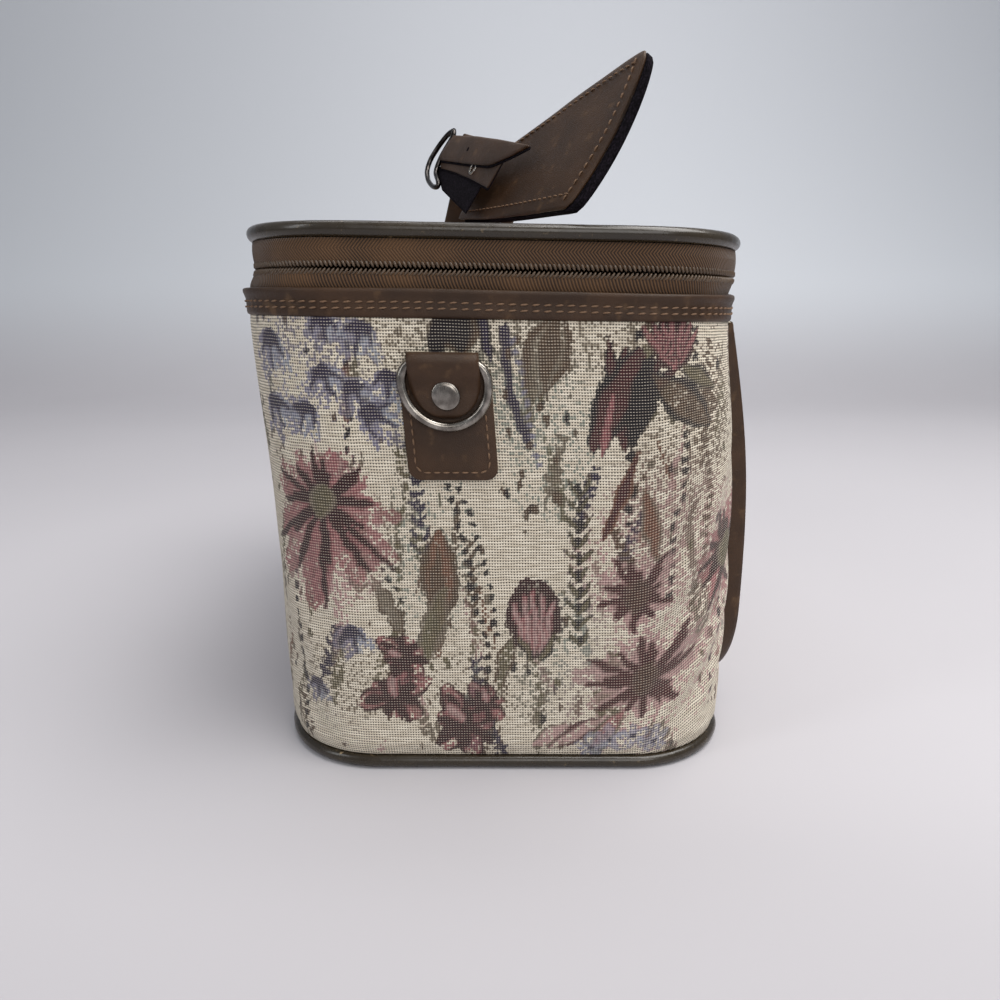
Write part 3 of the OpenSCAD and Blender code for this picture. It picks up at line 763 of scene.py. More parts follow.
WASH_SHARE, WASH_SOFT = 0.6, 1.1
WASHES = (
    ((-30, 95), 24, 30, SAGE, 0.36), ((20, 140), 20, 34, SAGE, 0.44), ((-5, 160), 24, 22, SAGE, 0.40),
    ((70, 120), 22, 40, TAUPE, 0.46), ((-68, 40), 24, 22, TAUPE, 0.42), ((24, 52), 20, 30, SAGE, 0.36),
    ((62, 90), 28, 34, DUSTY, 0.50), ((-30, 180), 44, 14, TAUPE, 0.50), ((60, 30), 32, 26, DUSTY, 0.46),
    ((-10, 40), 26, 24, TAUPE, 0.34), ((90, 150), 16, 36, BROWN, 0.52), ((30, 180), 30, 14, TAUPE, 0.46),
    ((-75, 170), 24, 22, LAVENDER, 0.36), ((100, 60), 20, 50, DUSTY, 0.46))
GRASS = (TAUPE, OLIVE, SAGE, BROWN, TAUPE, DUSTY, OLIVE, RUST)
SPRIGS = (OLIVE, BROWN, TAUPE, VIOLET)
FLECKS = (CHARCOAL, BROWN, OLIVE, BROWN, TAUPE)


def paint_ground(c):
    """Faint washes, grasses, sprigs and flecks behind the flowers."""
    for at, wide, tall, colour, amount in WASHES:
        c.spot(at, wide, tall, colour, amount * WASH_SHARE, WASH_SOFT)
    draw = np.random.default_rng(11)
    for k in range(76):
        foot = (draw.uniform(-112, 112), draw.uniform(-6, 172))
        lean = draw.uniform(-11, 11)
        tip = (foot[0] + lean, foot[1] + draw.uniform(14, 44))
        width = draw.uniform(2.0, 5.0)
        colour = GRASS[k % len(GRASS)]
        c.leaf(foot, tip, width, colour, colour, draw.uniform(0.26, 0.6))
    for k in range(30):
        foot = (draw.uniform(-112, 112), draw.uniform(-4, 150))
        tip = (foot[0] + draw.uniform(-9, 9), foot[1] + draw.uniform(18, 40))
        c.sprig(foot, tip, SPRIGS[k % len(SPRIGS)], draw.uniform(0.55, 0.85), 6)
    for k in range(210):
        at = (draw.uniform(-114, 114), draw.uniform(0, 192))
        wide, tall = draw.uniform(0.7, 1.3), draw.uniform(1.0, 3.2)
        c.spot(at, wide, tall, FLECKS[k % len(FLECKS)], draw.uniform(0.6, 0.95))


# Points, width, colour, amount and length of the dashes
STEMS = (
    ([(-50, 190), (-54, 160), (-60, 128)], 1.6, CHARCOAL, 0.85, 3.2),
    ([(-21, 124), (-12, 93), (-8, 59), (-5, 14)], 2.0, CHARCOAL, 0.95, 2.6),
    ([(-16, 124), (-9, 98), (-1, 60)], 1.8, CHARCOAL, 0.9, 2.6),
    ([(5, 184), (8, 160), (12, 138)], 3.0, VIOLET, 0.85),
    ([(9, 180), (12, 160), (17, 130)], 1.8, LAVENDER, 0.85, 2.0),
    ([(55, 190), (57, 160), (52, 135), (49, 108)], 3.0, CHARCOAL, 0.95, 3.4),
    ([(79, 186), (76, 150), (70, 110), (66, 70)], 2.2, CHARCOAL, 0.85, 2.8),
    ([(86, 180), (83, 140), (84, 96), (78, 60)], 2.6, BROWN, 0.85, 2.2),
    ([(-89, 92), (-87, 60), (-91, 10)], 1.8, CHARCOAL, 0.85, 3.0),
    ([(-44, 60), (-40, 96), (-36, 130)], 1.6, OLIVE, 0.8, 2.4),
    ([(-58, 112), (-48, 92), (-40, 74)], 1.6, CHARCOAL, 0.8, 2.4),
    ([(14, 50), (15, 30), (12, 6)], 1.8, OLIVE, 0.85, 2.4),
    ([(98, 50), (94, 30), (96, 8)], 1.8, CHARCOAL, 0.85, 3.0))


def paint_stems(c):
    """Dashed stems, a spike of small leaves and a line of seeds."""
    for stem in STEMS:
        c.stem(*stem)
    for k in range(10):
        rise = 56 + 7.0 * k
        c.stem([(31, rise), (31, rise + 5)], 1.6, CHARCOAL, 0.9)
        c.leaf((31, rise), (26.5 - k % 3, rise + 8), 2.2, OLIVE, CHARCOAL, 0.85)
        c.leaf((31, rise), (35.5 + k % 2, rise + 8), 2.2, OLIVE, CHARCOAL, 0.85)
    for k in range(16):
        c.spot((14 + 9 * math.sin(k * 1.9), 114 + 5 * k), 1.3, 2.2, BROWN, 0.85)


# Foot, tip, width, colours of the heart and the edge, amount at the edge and in the middle
LEAVES_BEHIND = (
    ((15, 156), (28, 192), 17, TAUPE, BROWN, 0.85, 0.6), ((19, 160), (26, 190), 7, BROWN, BROWN, 0.8),
    ((-10, 172), (-14, 196), 18, CHARCOAL, BROWN, 0.9),
    ((-20, 168), (-17, 194), 6, CHARCOAL, CHARCOAL, 0.95), ((0, 170), (-3, 194), 5, VIOLET, CHARCOAL, 0.95))
LEAVES = (
    ((36, 136), (57, 178), 15, MAROON, CHARCOAL, 0.97), ((52, 138), (61, 176), 10, CHARCOAL, CHARCOAL, 0.97),
    ((40, 134), (46, 160), 5, ROSE, BURGUNDY, 0.9), ((86, 140), (60, 168), 15, BROWN, CHARCOAL, 0.9, 0.7),
    ((90, 158), (70, 172), 8, OLIVE, CHARCOAL, 0.85, 0.7), ((39, 98), (55, 138), 5.0, MAROON, RUST, 0.95),
    ((-25, 64), (-24, 108), 15, RUST, BROWN, 0.88, 0.8), ((-27, 70), (-25, 100), 5, BROWN, BROWN, 0.95),
    ((-34, 46), (-22, 84), 10, OLIVE, TAUPE, 0.8), ((-40, 60), (-52, 88), 7, TAUPE, BROWN, 0.75),
    ((62, 90), (56, 124), 7, RUST, TAUPE, 0.75), ((-3, 36), (4, 62), 7, OLIVE, BROWN, 0.8, 0.6),
    ((28, 22), (10, 10), 7, DUSTY, TAUPE, 0.85, 0.6), ((44, 26), (16, 8), 8, DUSTY, MAROON, 0.85, 0.6),
    ((52, 30), (34, 8), 7, ROSE, TAUPE, 0.85, 0.6))


def paint_leaves(c):
    """Single leaves, and a fan of five at the right."""
    for leaf in LEAVES_BEHIND:
        c.leaf(*leaf)
    for k in range(5):
        c.leaf((50 - 2 * k, 136 + 3 * k), (44 + 7 * k, 182 - 3 * k), 8, MAROON, CHARCOAL, 0.97)
    for leaf in LEAVES:
        c.leaf(*leaf)


BELLS = (
    ((-86, 182), -96, 22), ((-64, 170), -75, 19), ((-46, 186), -110, 20), ((-54, 164), -60, 19),
    ((-50, 154), -35, 22), ((-70, 156), -120, 19), ((-90, 158), -70, 21), ((-62, 188), -80, 16),
    ((-38, 168), -100, 16), ((-62, 66), -85, 18), ((-80, 40), -95, 15))
ROSES = (((-45, 34), 16, 20), ((-41, 52), 13, 75), ((-17, 22), 18, 50), ((-8, 31), 11, 10))
PALE_ROSES = ((36, 10), (44, 14), (54, 15), (63, 11))


def paint_tulips(c):
    """A striped bud at the upper right and a tulip below the middle."""
    c.spot((69, 179), 8.5, 11, BURGUNDY, 0.95)
    for k in range(7):
        c.petal((69, 168), 54 + 12 * k, 21 + k % 2, 3.4, ROSE, BURGUNDY, 0.9, 0.6, 0.7)
    c.petal((13.4, 50), 92, 37, 21, BURGUNDY, BURGUNDY, 0.95, 0.6, 0.8)
    for k in range(-2, 3):
        c.petal((13.4 + 1.7 * k, 52), 92 - 5 * k, 31 - abs(k) * 3, 2.6, DUSTY, ROSE, 0.9, 0.5)
    c.leaf((13, 48), (6, 62), 4, OLIVE, CHARCOAL)
    c.leaf((14, 48), (22, 62), 4, OLIVE, CHARCOAL)


def paint_flowers(c):
    """A large drooping flower, larkspur, tulips, roses and pale daisies."""
    c.spot((-69, 104), 23, 32, DUSTY, 0.4, 0.5)
    c.daisy((-70, 117), 21, 25, 44, 20, ROSE, BURGUNDY)
    for bell in BELLS:
        c.bell(*bell)
    paint_tulips(c)
    for rose in ROSES:
        c.rose(*rose)
    c.daisy((58, 40), 20, 30, 16, 20, DUSTY, MAROON, 0.3)
    c.daisy((54, 78), 18, 16, 16, 16, DUSTY, MAROON, 0.25)
    for at in PALE_ROSES:
        c.rose_pale(at, 7.5)
    c.daisy((99, 70), 24, 18, 24, 18, ROSE, BURGUNDY)


def paint_panel(c):
    """One repeat of the pattern: garden flowers, leaves and grasses on thin stems."""
    paint_ground(c)
    paint_stems(c)
    paint_leaves(c)
    paint_flowers(c)


PANEL_STEP = PERIMETER / 4 / MM
PANELS = ((0, 0, 1), (1, -36, -1), (1, 150, -1), (2, 0, 1), (3, -24, 1), (3, 166, -1))


def painted(mesh, u, v, panels, wrap=None):
    """Stores the pattern on the points of a mesh."""
    cloth = Cloth(u, v, wrap)
    for u0, v0, flip in panels:
        cloth.panel(u0, v0, flip)
        paint_panel(cloth)
    rgba = np.concatenate([cloth.colour, cloth.cover[:, None]], -1).astype(np.float32)
    attribute = mesh.attributes.new("motif", "FLOAT_COLOR", "POINT")
    attribute.data.foreach_set("color", rgba.ravel())


# Wall

WALL_INSIDE = -3.0 * MM
WALL_TUCK = 2.0 * MM
WALL_HALVES = ("wall_cover_left", "wall_cover_right")


PULL_ROUND = (44, 84, 122, 150)


def wall_puff(s, z):
    """How far the cloth stands off the board: waves, a full corner, and folds where the pocket pulls."""
    a, b = (s - LEFT_MID) / MM, z / MM
    foot = WALL_BOTTOM / MM
    swell = 0.3 * ripple(a / 22, b / 26, 1.0)
    full = 2.0 * window(a, 48, 88, 125, 165) * window(b, 20, 75, 140, 185)
    front = window(a, *PULL_ROUND) * window(b, 8, 34, 96, 150)
    folds = 0.85 * front * np.sin((a - 0.75 * b) / 3.7 + 1.2 * np.sin(b / 17))
    back = window(a, -130, -98, -78, -58) * window(b, 6, 20, 60, 110)
    folds += 0.55 * back * np.sin((a + 0.5 * b) / 5.0)
    tuck = -1.6 * (1 - smooth(b, foot, foot + 6)) - 0.3 * smooth(b, 182, 187)
    return (0.45 + swell + full + folds + tuck) * MM


def weave_sweep(s, z):
    """How far the cloth's rows are pulled up at the front left corner."""
    a, b = (s - LEFT_MID) / MM, z / MM
    pull = window(a, *PULL_ROUND) * window(b, -60, 70, 90, 185)
    return 0.42 * np.clip(a - 46, 0, 90) * pull * MM


def make_wall():
    """The wall's cover, in two halves that meet at seams in the middle of the back and the front."""
    top = WALL_TOP - WALL_TUCK
    rows = np.linspace(WALL_BOTTOM, top, int((top - WALL_BOTTOM) / PAINT_STEP))
    z = np.concatenate([rows, [top, WALL_BOTTOM]])
    panels = [(k * PANEL_STEP, v0, flip) for k, v0, flip in PANELS]
    for half, name in enumerate(WALL_HALVES):
        s = np.linspace(half, half + 1, int(PERIMETER / 2 / PAINT_STEP)) * PERIMETER / 2
        off = wall_puff(s[:, None], rows[None, :])
        off = np.concatenate([off, np.full((len(s), 2), WALL_INSIDE)], 1)
        points = ring_points(s, off, z[None, :])
        u = np.broadcast_to(s[:, None], points.shape[:2])
        v = z[None, :] - weave_sweep(s[:, None], z[None, :])
        weave_u, weave_v = (np.concatenate([part, part[:, :1]], 1) for part in (u, v))
        mesh = grid_mesh(name, points, weave_u, weave_v, False, True)
        painted(mesh, (u - LEFT_MID).ravel(), v.ravel(), panels, PERIMETER)
        close_ends(mesh)
        replaced = ("wall_panel",) if half == 0 else ()
        cover = piece(name, mesh, tapestry, "case", *replaced)


# Leather band, zip tapes and piping

BAND_SHARES = np.array([0.0, 0.04, 0.12, 0.30, 0.48, 0.62, 0.74, 0.84, 0.93, 0.98, 1.0])
BAND_BULGE = np.array([0.35, 1.0, 1.25, 1.2, 1.2, 1.3, 1.7, 2.1, 2.15, 1.8, 1.1]) * MM
BAND_INNER = np.array([0.2, -0.6, 0.15]) * MM
BAND_STITCH_ROWS = (5.0 * MM, 7.2 * MM)
BAND_STITCH_PITCH = 4.3 * MM
BAND_STITCH_LENGTH = 3.0 * MM
BAND_STITCH_R = 0.36 * MM
BAND_STITCH_OFF = 1.3 * MM
BAND_STITCH_SLANT = 0.12


def make_band():
    """The folded leather band round the mouth, fullest near its upper edge."""
    s = columns(2.2 * MM)
    low = BAND_LOW + 0.8 * MM + waves(0.55, s, 0, 31, 1, 3.0)
    top = BAND_HIGH + 0.7 * MM + waves(0.3, s, 0, 19, 1, 9.0)
    z = low[:, None] + (top - low)[:, None] * BAND_SHARES
    off = BAND_BULGE + waves(0.3, s[:, None], z, 12, 9, 2.0)
    inner_off = np.broadcast_to(BAND_INNER, (len(s), len(BAND_INNER)))
    inner_z = np.stack([top - 0.3 * MM, np.full(len(s), BAND_HIGH - 1.0 * MM), low + 0.2 * MM], -1)
    off = np.concatenate([off, inner_off], 1)
    z = np.concatenate([z, inner_z], 1)
    piece("rim_band_cover", ring_mesh("rim_band_cover", s, off, z), leather, "case", "rim_band")
    make_band_stitches(s, top)


def make_band_stitches(s, top):
    """Two rows of slanted stitches below the band's upper edge."""
    for row, below in enumerate(BAND_STITCH_ROWS):
        name = f"band_stitches_{row}"
        line = ring_points(s, BAND_STITCH_OFF, (top - below)[:, None])[:, 0]
        centre, along = resample(np.concatenate([line, line[:1]]), BAND_STITCH_PITCH)
        out = np.stack([along[:, 1], -along[:, 0], 0 * along[:, 0]], -1)
        slant = along + np.array([0, 0, BAND_STITCH_SLANT])
        slant /= np.linalg.norm(slant, axis=1)[:, None]
        mesh = stitch_mesh(name, centre, slant, out, BAND_STITCH_LENGTH, BAND_STITCH_R)
        piece(name, mesh, thread_tan, "case")


TAPE_ROWS = 7
TAPE_T = 1.1 * MM
TAPE_IN = 0.8 * MM


def make_tape(node, body, bulge, share):
    """One half of the zip's tape, which bulges as a share of a half wave."""
    low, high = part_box(node)
    t = np.linspace(0, 1, TAPE_ROWS)
    z = low.z + (high.z - low.z) * t
    outer = bulge * np.sin(math.pi * t * share) - TAPE_IN
    off = np.concatenate([outer, outer[::-1] - TAPE_T])
    name = node + "_cover"
    mesh = ring_mesh(name, columns(2.5 * MM), off, np.concatenate([z, z[::-1]]))
    piece(name, mesh, tape_cloth, body, node)


ROUND_STEPS = 16


def make_piping(node, body):
    """Round piping along an edge, a little uneven."""
    low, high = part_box(node)
    radius = (high.z - low.z) / 2
    s = columns(2.0 * MM)
    turn = full_turn(ROUND_STEPS) - math.pi / 2
    sway = waves(0.06, s, 0, 18, 1, 5.0)[:, None]
    swell = (radius * (1 + 0.02 * ripple(s / MM / 7, 0, 6.0)) - 0.05 * MM)[:, None]
    off = high.x - HALF_L - radius + sway + swell * np.cos(turn)
    z = (low.z + high.z) / 2 + swell * np.sin(turn)
    name = node + "_cover"
    piece(name, ring_mesh(name, s, off, z), vinyl, body, node)


# Zip teeth

TOOTH_PITCH = 1.7 * MM
TOOTH_RINGS = 5
TOOTH_SIDES = 8
TOOTH_TALL = 2.7 * MM
TOOTH_HALF_W = 0.6 * MM
TOOTH_HALF_T = 0.85 * MM
TOOTH_LEAN = 0.5 * MM
TOOTH_IN = 1.1 * MM
TOOTH_OVER = 0.1 * MM
ZIP_FROM = STRAIGHT_X - 7 * MM
ZIP_TO = PERIMETER - STRAIGHT_X - QUARTER + CORNER_R * math.radians(50)


def make_teeth(name, node, body, upward):
    """A row of coil loops that stand up or hang down, each a bead that leans along the row."""
    low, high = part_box(node)
    edge, shift = (low.z, TOOTH_PITCH / 2) if upward > 0 else (high.z, 0)
    point, normal = rim(np.arange(ZIP_FROM, ZIP_TO, TOOTH_PITCH) + shift)
    along = np.stack([-normal[:, 1], normal[:, 0]], -1)
    rings = np.linspace(-1, 1, TOOTH_RINGS)[:, None]
    turn = full_turn(TOOTH_SIDES)
    width = np.sqrt(np.clip(1.05 - rings ** 4, 0.08, 1))
    across = width * np.cos(turn) * TOOTH_HALF_W - rings * upward * TOOTH_LEAN
    out = width * np.sin(turn) * TOOTH_HALF_T - TOOTH_IN
    up = np.broadcast_to(rings * TOOTH_TALL / 2, across.shape)
    flat = point[:, None, None] + along[:, None, None] * across[..., None]
    flat = flat + normal[:, None, None] * out[..., None]
    middle = edge + upward * (TOOTH_TALL / 2 - TOOTH_OVER)
    piece(name, bead_mesh(name, raised(flat, middle + up)), coil, body, node)


# Lid and base

LID_SHARES = np.concatenate([np.linspace(1.0, 0.9, 8), np.linspace(0.87, 0.0, 57)])
LID_PANELS = ((-10, 0, 1), (180, 10, -1), (-190, 10, -1))
BASE_SHARES = np.concatenate([np.linspace(1.0, 0.92, 5), np.linspace(0.88, 0.0, 27)])
LINING_SHARES = np.linspace(1.0, 0.0, 25)
LINING_IN = 0.5 * MM


def fan_mesh(name, s, shares, inset, height):
    """A board covered in cloth: rings of the outline that shrink to its middle."""
    point, normal = rim(s)
    flat = (point - normal * inset)[:, None, :] * shares[None, :, None]
    x, y = flat[..., 0], flat[..., 1]
    points = raised(flat, height(x, y, shares))
    mesh = grid_mesh(name, points, np.append(s, PERIMETER), shares, True, False)
    corner = np.zeros(len(mesh.loops), np.int32)
    mesh.loops.foreach_get("vertex_index", corner)
    weave = flat.reshape(-1, 2)[corner]
    mesh.uv_layers["weave"].data.foreach_set("uv", weave.astype(np.float32).ravel())
    return mesh, x.ravel(), y.ravel()


def make_lid():
    """The lid's crowned cover, rolled down to the piping at its edge."""
    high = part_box("lid_panel")[1]
    edge_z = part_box("lid_piping")[1].z - 2.6 * MM

    def top(x, y, share):
        crown = high.z - 2.0 * MM * (y / high.y) ** 2 - 0.3 * MM
        roll = smooth(share, 0.93, 1.005)
        return crown + waves(0.2, x, y, 26, 24, 7.0) - roll * (crown - edge_z + 1.2 * MM)

    mesh, x, y = fan_mesh("lid_cover", columns(2.0 * MM), LID_SHARES, HALF_W - high.y, top)
    painted(mesh, x, y + HALF_W, LID_PANELS)
    join_middle(mesh)
    lid = piece("lid_cover", mesh, tapestry, "lid", "lid_panel")


def make_base():
    """The cover under the base board, turned up at its edge."""
    low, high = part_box("base_panel")

    def under(x, y, share):
        return low.z + 0.15 * MM + 2.0 * MM * smooth(share, 0.955, 1.0)

    mesh, x, y = fan_mesh("base_cover", columns(4.0 * MM), BASE_SHARES, HALF_W - high.y, under)
    flip_faces(mesh)
    painted(mesh, x, y + HALF_W, [(0, 0, 1)])
    join_middle(mesh)
    base = piece("base_cover", mesh, tapestry, "case", "base_panel")


def make_case_lining():
    """The lining bag's wall and floor."""
    low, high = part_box("case_lining")
    s = columns(4.0 * MM)
    inset = HALF_L - high.x
    rows = np.linspace(high.z + 0.2 * MM, low.z + 1.0 * MM, 40)
    off = waves(0.35, s[:, None], rows[None, :], 17, 40, 8.0) - inset - LINING_IN
    points = ring_points(s, off, rows[None, :])
    mesh = grid_mesh("lining_wall", points, np.append(s, PERIMETER), rows, True, False)
    wall = piece("lining_wall", mesh, lining, "case", "case_lining")

    def floor(x, y, share):
        return low.z + 0.9 * MM + waves(0.25, x, y, 30, 27, 9.0)

    mesh, _, _ = fan_mesh("lining_floor", s, LINING_SHARES, inset + 0.6 * MM, floor)
    join_middle(mesh)
    floor_piece = piece("lining_floor", mesh, lining, "case")


def make_lid_lining():
    """The padded lining under the lid."""
    low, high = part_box("lid_lining")

    def ceiling(x, y, share):
        pad = 1.2 * MM * (1 - smooth(share, 0.8, 1.0))
        return low.z + 0.1 * MM - pad + waves(0.2, x, y, 24, 28, 4.0)

    mesh, _, _ = fan_mesh("lid_lining_pad", columns(4.0 * MM), LINING_SHARES, HALF_L - high.x, ceiling)
    flip_faces(mesh)
    join_middle(mesh)
    pad = piece("lid_lining_pad", mesh, lining, "lid", "lid_lining")


# Front pocket

pocket_low, pocket_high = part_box("front_pocket")
POCKET_HALF = pocket_high.x
POCKET_BOTTOM, POCKET_TOP = pocket_low.z, BAND_LOW
POCKET_CORNER = 46 * MM
POCKET_FULL = -HALF_W - pocket_low.y
POCKET_FULL_Z = 85 * MM
POCKET_BEND_UP, POCKET_BEND_DOWN = 520 * MM, 1100 * MM
POCKET_T = 1.4 * MM
POCKET_PANELS = ((-30, -14, -1), (165, 4, 1), (-200, 30, 1))
POCKET_STITCH, POCKET_STITCH_R = 3.4 * MM, 0.33 * MM

# The binding's profile: millimetres outside the pocket's edge, and share of the pocket's depth
BINDING = ((1.0, 0.0), (1.05, 0.5), (0.9, 0.9), (0.3, 1.06), (-1.0, 1.1), (-6.0, 1.1), (-10.6, 1.0),
           (-11.0, 0.6))
BINDING_SEAM = 5


def pocket_proud(z):
    """How far the pocket stands off the wall at a height."""
    bend = np.where(z > POCKET_FULL_Z, POCKET_BEND_UP, POCKET_BEND_DOWN)
    return POCKET_FULL - (z - POCKET_FULL_Z) ** 2 / (2 * bend)


def pocket_edge():
    """The pocket's outline from its upper left to its upper right end, as x, z and the direction out."""
    straight, bend = POCKET_HALF - POCKET_CORNER, POCKET_BOTTOM + POCKET_CORNER

    def corner(x, start):
        turn = np.radians(np.linspace(start, start + 90, 24)[1:])
        out = np.stack([np.cos(turn), np.sin(turn)], -1)
        return np.concatenate([np.array([x, bend]) + POCKET_CORNER * out, out], 1)

    left = [(-POCKET_HALF, z, -1, 0) for z in np.linspace(POCKET_TOP, bend, 40)]
    foot = [(x, POCKET_BOTTOM, 0, -1) for x in np.linspace(-straight, straight, 60)[1:]]
    right = [(POCKET_HALF, z, 1, 0) for z in np.linspace(bend, POCKET_TOP, 40)[1:]]
    return np.concatenate([left, corner(-straight, 180), foot, corner(straight, 270), right])


def make_pocket():
    """The pocket's bulging cloth."""
    rows = np.linspace(POCKET_BOTTOM + 0.4 * MM, POCKET_TOP, 140)
    below = POCKET_CORNER - np.clip(rows - POCKET_BOTTOM, 0, POCKET_CORNER)
    width = POCKET_HALF - POCKET_CORNER + np.sqrt(POCKET_CORNER ** 2 - below ** 2)
    t = np.linspace(-1, 1, 170)
    x = width * t[:, None]
    y = -HALF_W - pocket_proud(rows) + waves(0.3, x, rows, 30, 25, 3.3) - 0.2 * MM
    outer = np.stack([x, y, np.broadcast_to(rows, x.shape)], -1)
    points = layered(outer, outer + np.array([0, POCKET_T, 0]))
    v = np.concatenate([rows, rows[::-1], rows[:1]])
    mesh = grid_mesh("pocket_cover", points, t * POCKET_HALF, v, False, True)
    flat = points.reshape(-1, 3)
    painted(mesh, flat[:, 0], flat[:, 2], POCKET_PANELS)
    pocket = piece("pocket_cover", mesh, tapestry, "case", "front_pocket")


def make_binding():
    """The leather binding over the pocket's edge, with stitches along it and along the pocket's lip."""
    x, z, out_x, out_z = pocket_edge().T
    strips = []
    for out, share in BINDING:
        height = z + out_z * out * MM
        depth = pocket_proud(height) * min(share, 1) + max(share - 1, 0) * 10 * MM
        strips.append(np.stack([x + out_x * out * MM, -HALF_W - depth, np.minimum(height, POCKET_TOP)], -1))
    points = np.stack(strips, 1)
    v = np.arange(len(BINDING)) * 2 * MM
    mesh = grid_mesh("pocket_binding_cover", points, distance(points[:, 0]), v)
    piece("pocket_binding_cover", mesh, leather, "case", "pocket_binding")
    seam = strips[BINDING_SEAM] - np.array([0, 0.1 * MM, 0])
    stitch_line("pocket_stitches", seam, (0, -1, 0), POCKET_STITCH, POCKET_STITCH_R, "case")
    lip_y = -HALF_W - float(pocket_proud(POCKET_TOP)) - 0.3 * MM
    lip = [(at, lip_y, POCKET_TOP - 7 * MM) for at in np.linspace(-POCKET_HALF, POCKET_HALF, 80)]
    stitch_line("pocket_lip_stitches", lip, (0, -1, 0), POCKET_STITCH, POCKET_STITCH_R, "case")


# End ring fittings

def tube(name, path, across, radius, sides=14):
    """A closed wire along a flat closed path; across is the direction out of the path's plane."""
    ahead = np.roll(path, -1, 0) - np.roll(path, 1, 0)
    ahead /= np.linalg.norm(ahead, axis=1)[:, None]
    side = np.cross(ahead, across)
    turn = full_turn(sides)
    ring = side[:, None] * np.cos(turn)[:, None] + np.asarray(across) * np.sin(turn)[:, None]
    points = path[:, None] + ring * radius
    return grid_mesh(name, points, run_length(path), np.arange(sides + 1) * 0.5 * MM, True, True)


def arc(centre, radius, start, end, count):
    """Points along an arc between two angles in degrees."""
    angle = np.radians(np.linspace(start, end, count))
    return [(centre[0] + radius * math.cos(a), centre[1] + radius * math.sin(a)) for a in angle]


RING_WIRE = 1.8 * MM
RING_SHOULDER = 7 * MM
TAB_LEATHER = 1.7 * MM
TAB_HALF_W = 13.2 * MM
TAB_ROUND = 12.5 * MM
TAB_FLAT = 2.5 * MM
TAB_EDGE = 1.6 * MM

# The rivet's profile: share of its radius, and millimetres off the patch
RIVET = ((0.01, 4.0), (0.66, 3.98), (0.80, 3.9), (0.84, 3.78), (0.90, 3.86), (0.97, 3.6), (1.0, 3.1),
         (0.97, 2.3))
RIVET_SCALE = 1.08
RIVET_SIDES = 32


def make_ring(name):
    """A D-ring of thick wire with round shoulders."""
    low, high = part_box(f"{name}_ring")
    wire = (high.x - low.x) / 2
    middle = (low + high) / 2
    half = (high.y - low.y) / 2 - wire
    bar, bend = high.z - wire, low.z + wire + half
    path = arc((half - RING_SHOULDER, bar - RING_SHOULDER), RING_SHOULDER, 90, 0, 9)
    path += arc((0, bend), half, 0, -180, 33)
    path += arc((RING_SHOULDER - half, bar - RING_SHOULDER), RING_SHOULDER, 180, 90, 9)
    path = np.array([(middle.x, middle.y + y, z) for y, z in path])
    mesh = tube(f"{name}_ring_wire", path, np.array([1.0, 0, 0]), RING_WIRE)
    piece(f"{name}_ring_wire", mesh, nickel, f"{name}_ring", f"{name}_ring")


def tab_profile(bar_off, bar_z, tip_z):
    """The tab's outside from its top over the ring's bar to its tip: distance off the patch, and height."""
    fold = RING_WIRE + TAB_LEATHER
    drop = np.linspace(bar_z - fold, tip_z, 18)
    hang = smooth(drop, bar_z - 11 * MM, bar_z - 2 * MM)
    off = TAB_FLAT + (bar_off + fold * 0.8 - TAB_FLAT) * hang
    off *= np.sqrt(np.clip((drop - tip_z) / TAB_EDGE + 0.05, 0, 1))
    return np.array(arc((bar_off, bar_z), fold, 165, -30, 12) + list(zip(off, drop)))


def make_tab(side, name):
    """A leather tab folded over the ring's bar, with a round tongue that is riveted to the patch."""
    patch_low, patch_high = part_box(f"{name}_patch")
    low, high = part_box(f"{name}_ring")
    wire = (high.x - low.x) / 2
    middle = (low + high) / 2
    face = patch_high.x if side > 0 else patch_low.x
    tip = low.z + 2 * wire + 1.2 * MM
    profile = tab_profile(abs(middle.x - face), high.z - wire, tip)
    round_z = tip + TAB_ROUND
    below = np.clip((round_z - profile[:, 1]) / (round_z - tip), 0, 0.985)
    width = TAB_HALF_W * np.sqrt(1 - below ** 2) - 0.5 * MM * smooth(below, 0, 0.3)
    t = np.concatenate([[-1], np.linspace(-1, 1, 17), [1]])
    rounding = 1 - 0.1 * np.abs(t) ** 6
    rounding[[0, -1]] = 0
    off = profile[:, 0] * rounding[:, None]
    y = middle.y + width * t[:, None]
    points = np.stack([face + side * off, y, np.broadcast_to(profile[:, 1], off.shape)], -1)
    mesh = grid_mesh(f"{name}_tab_cover", points, np.arange(len(t)) * MM, np.arange(len(profile)) * MM)
    if side > 0:
        flip_faces(mesh)
    piece(f"{name}_tab_cover", mesh, leather, "case", f"{name}_tab")
    return face


def make_rivet(side, name, face):
    """A flat cap with a rounded rim, turned about the way out of the patch."""
    low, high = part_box(f"{name}_rivet")
    middle = (low + high) / 2
    radius = (high.z - low.z) / 2 * RIVET_SCALE
    share, height = np.array(RIVET).T
    turn = full_turn(RIVET_SIDES)
    y = middle.y + radius * share * np.cos(turn)[:, None]
    z = middle.z + radius * share * np.sin(turn)[:, None] * side
    points = np.stack([np.broadcast_to(face + side * height * MM, y.shape), y, z], -1)
    cap = f"{name}_rivet_cap"
    mesh = grid_mesh(cap, points, np.append(turn, 2 * math.pi) * radius, np.arange(len(RIVET)) * MM, True)
    piece(cap, mesh, nickel, "case", f"{name}_rivet")


PATCH_STITCH_IN = 3.1 * MM
PATCH_STITCH_R = 4.0 * MM
PATCH_STITCH_TOP = 9 * MM


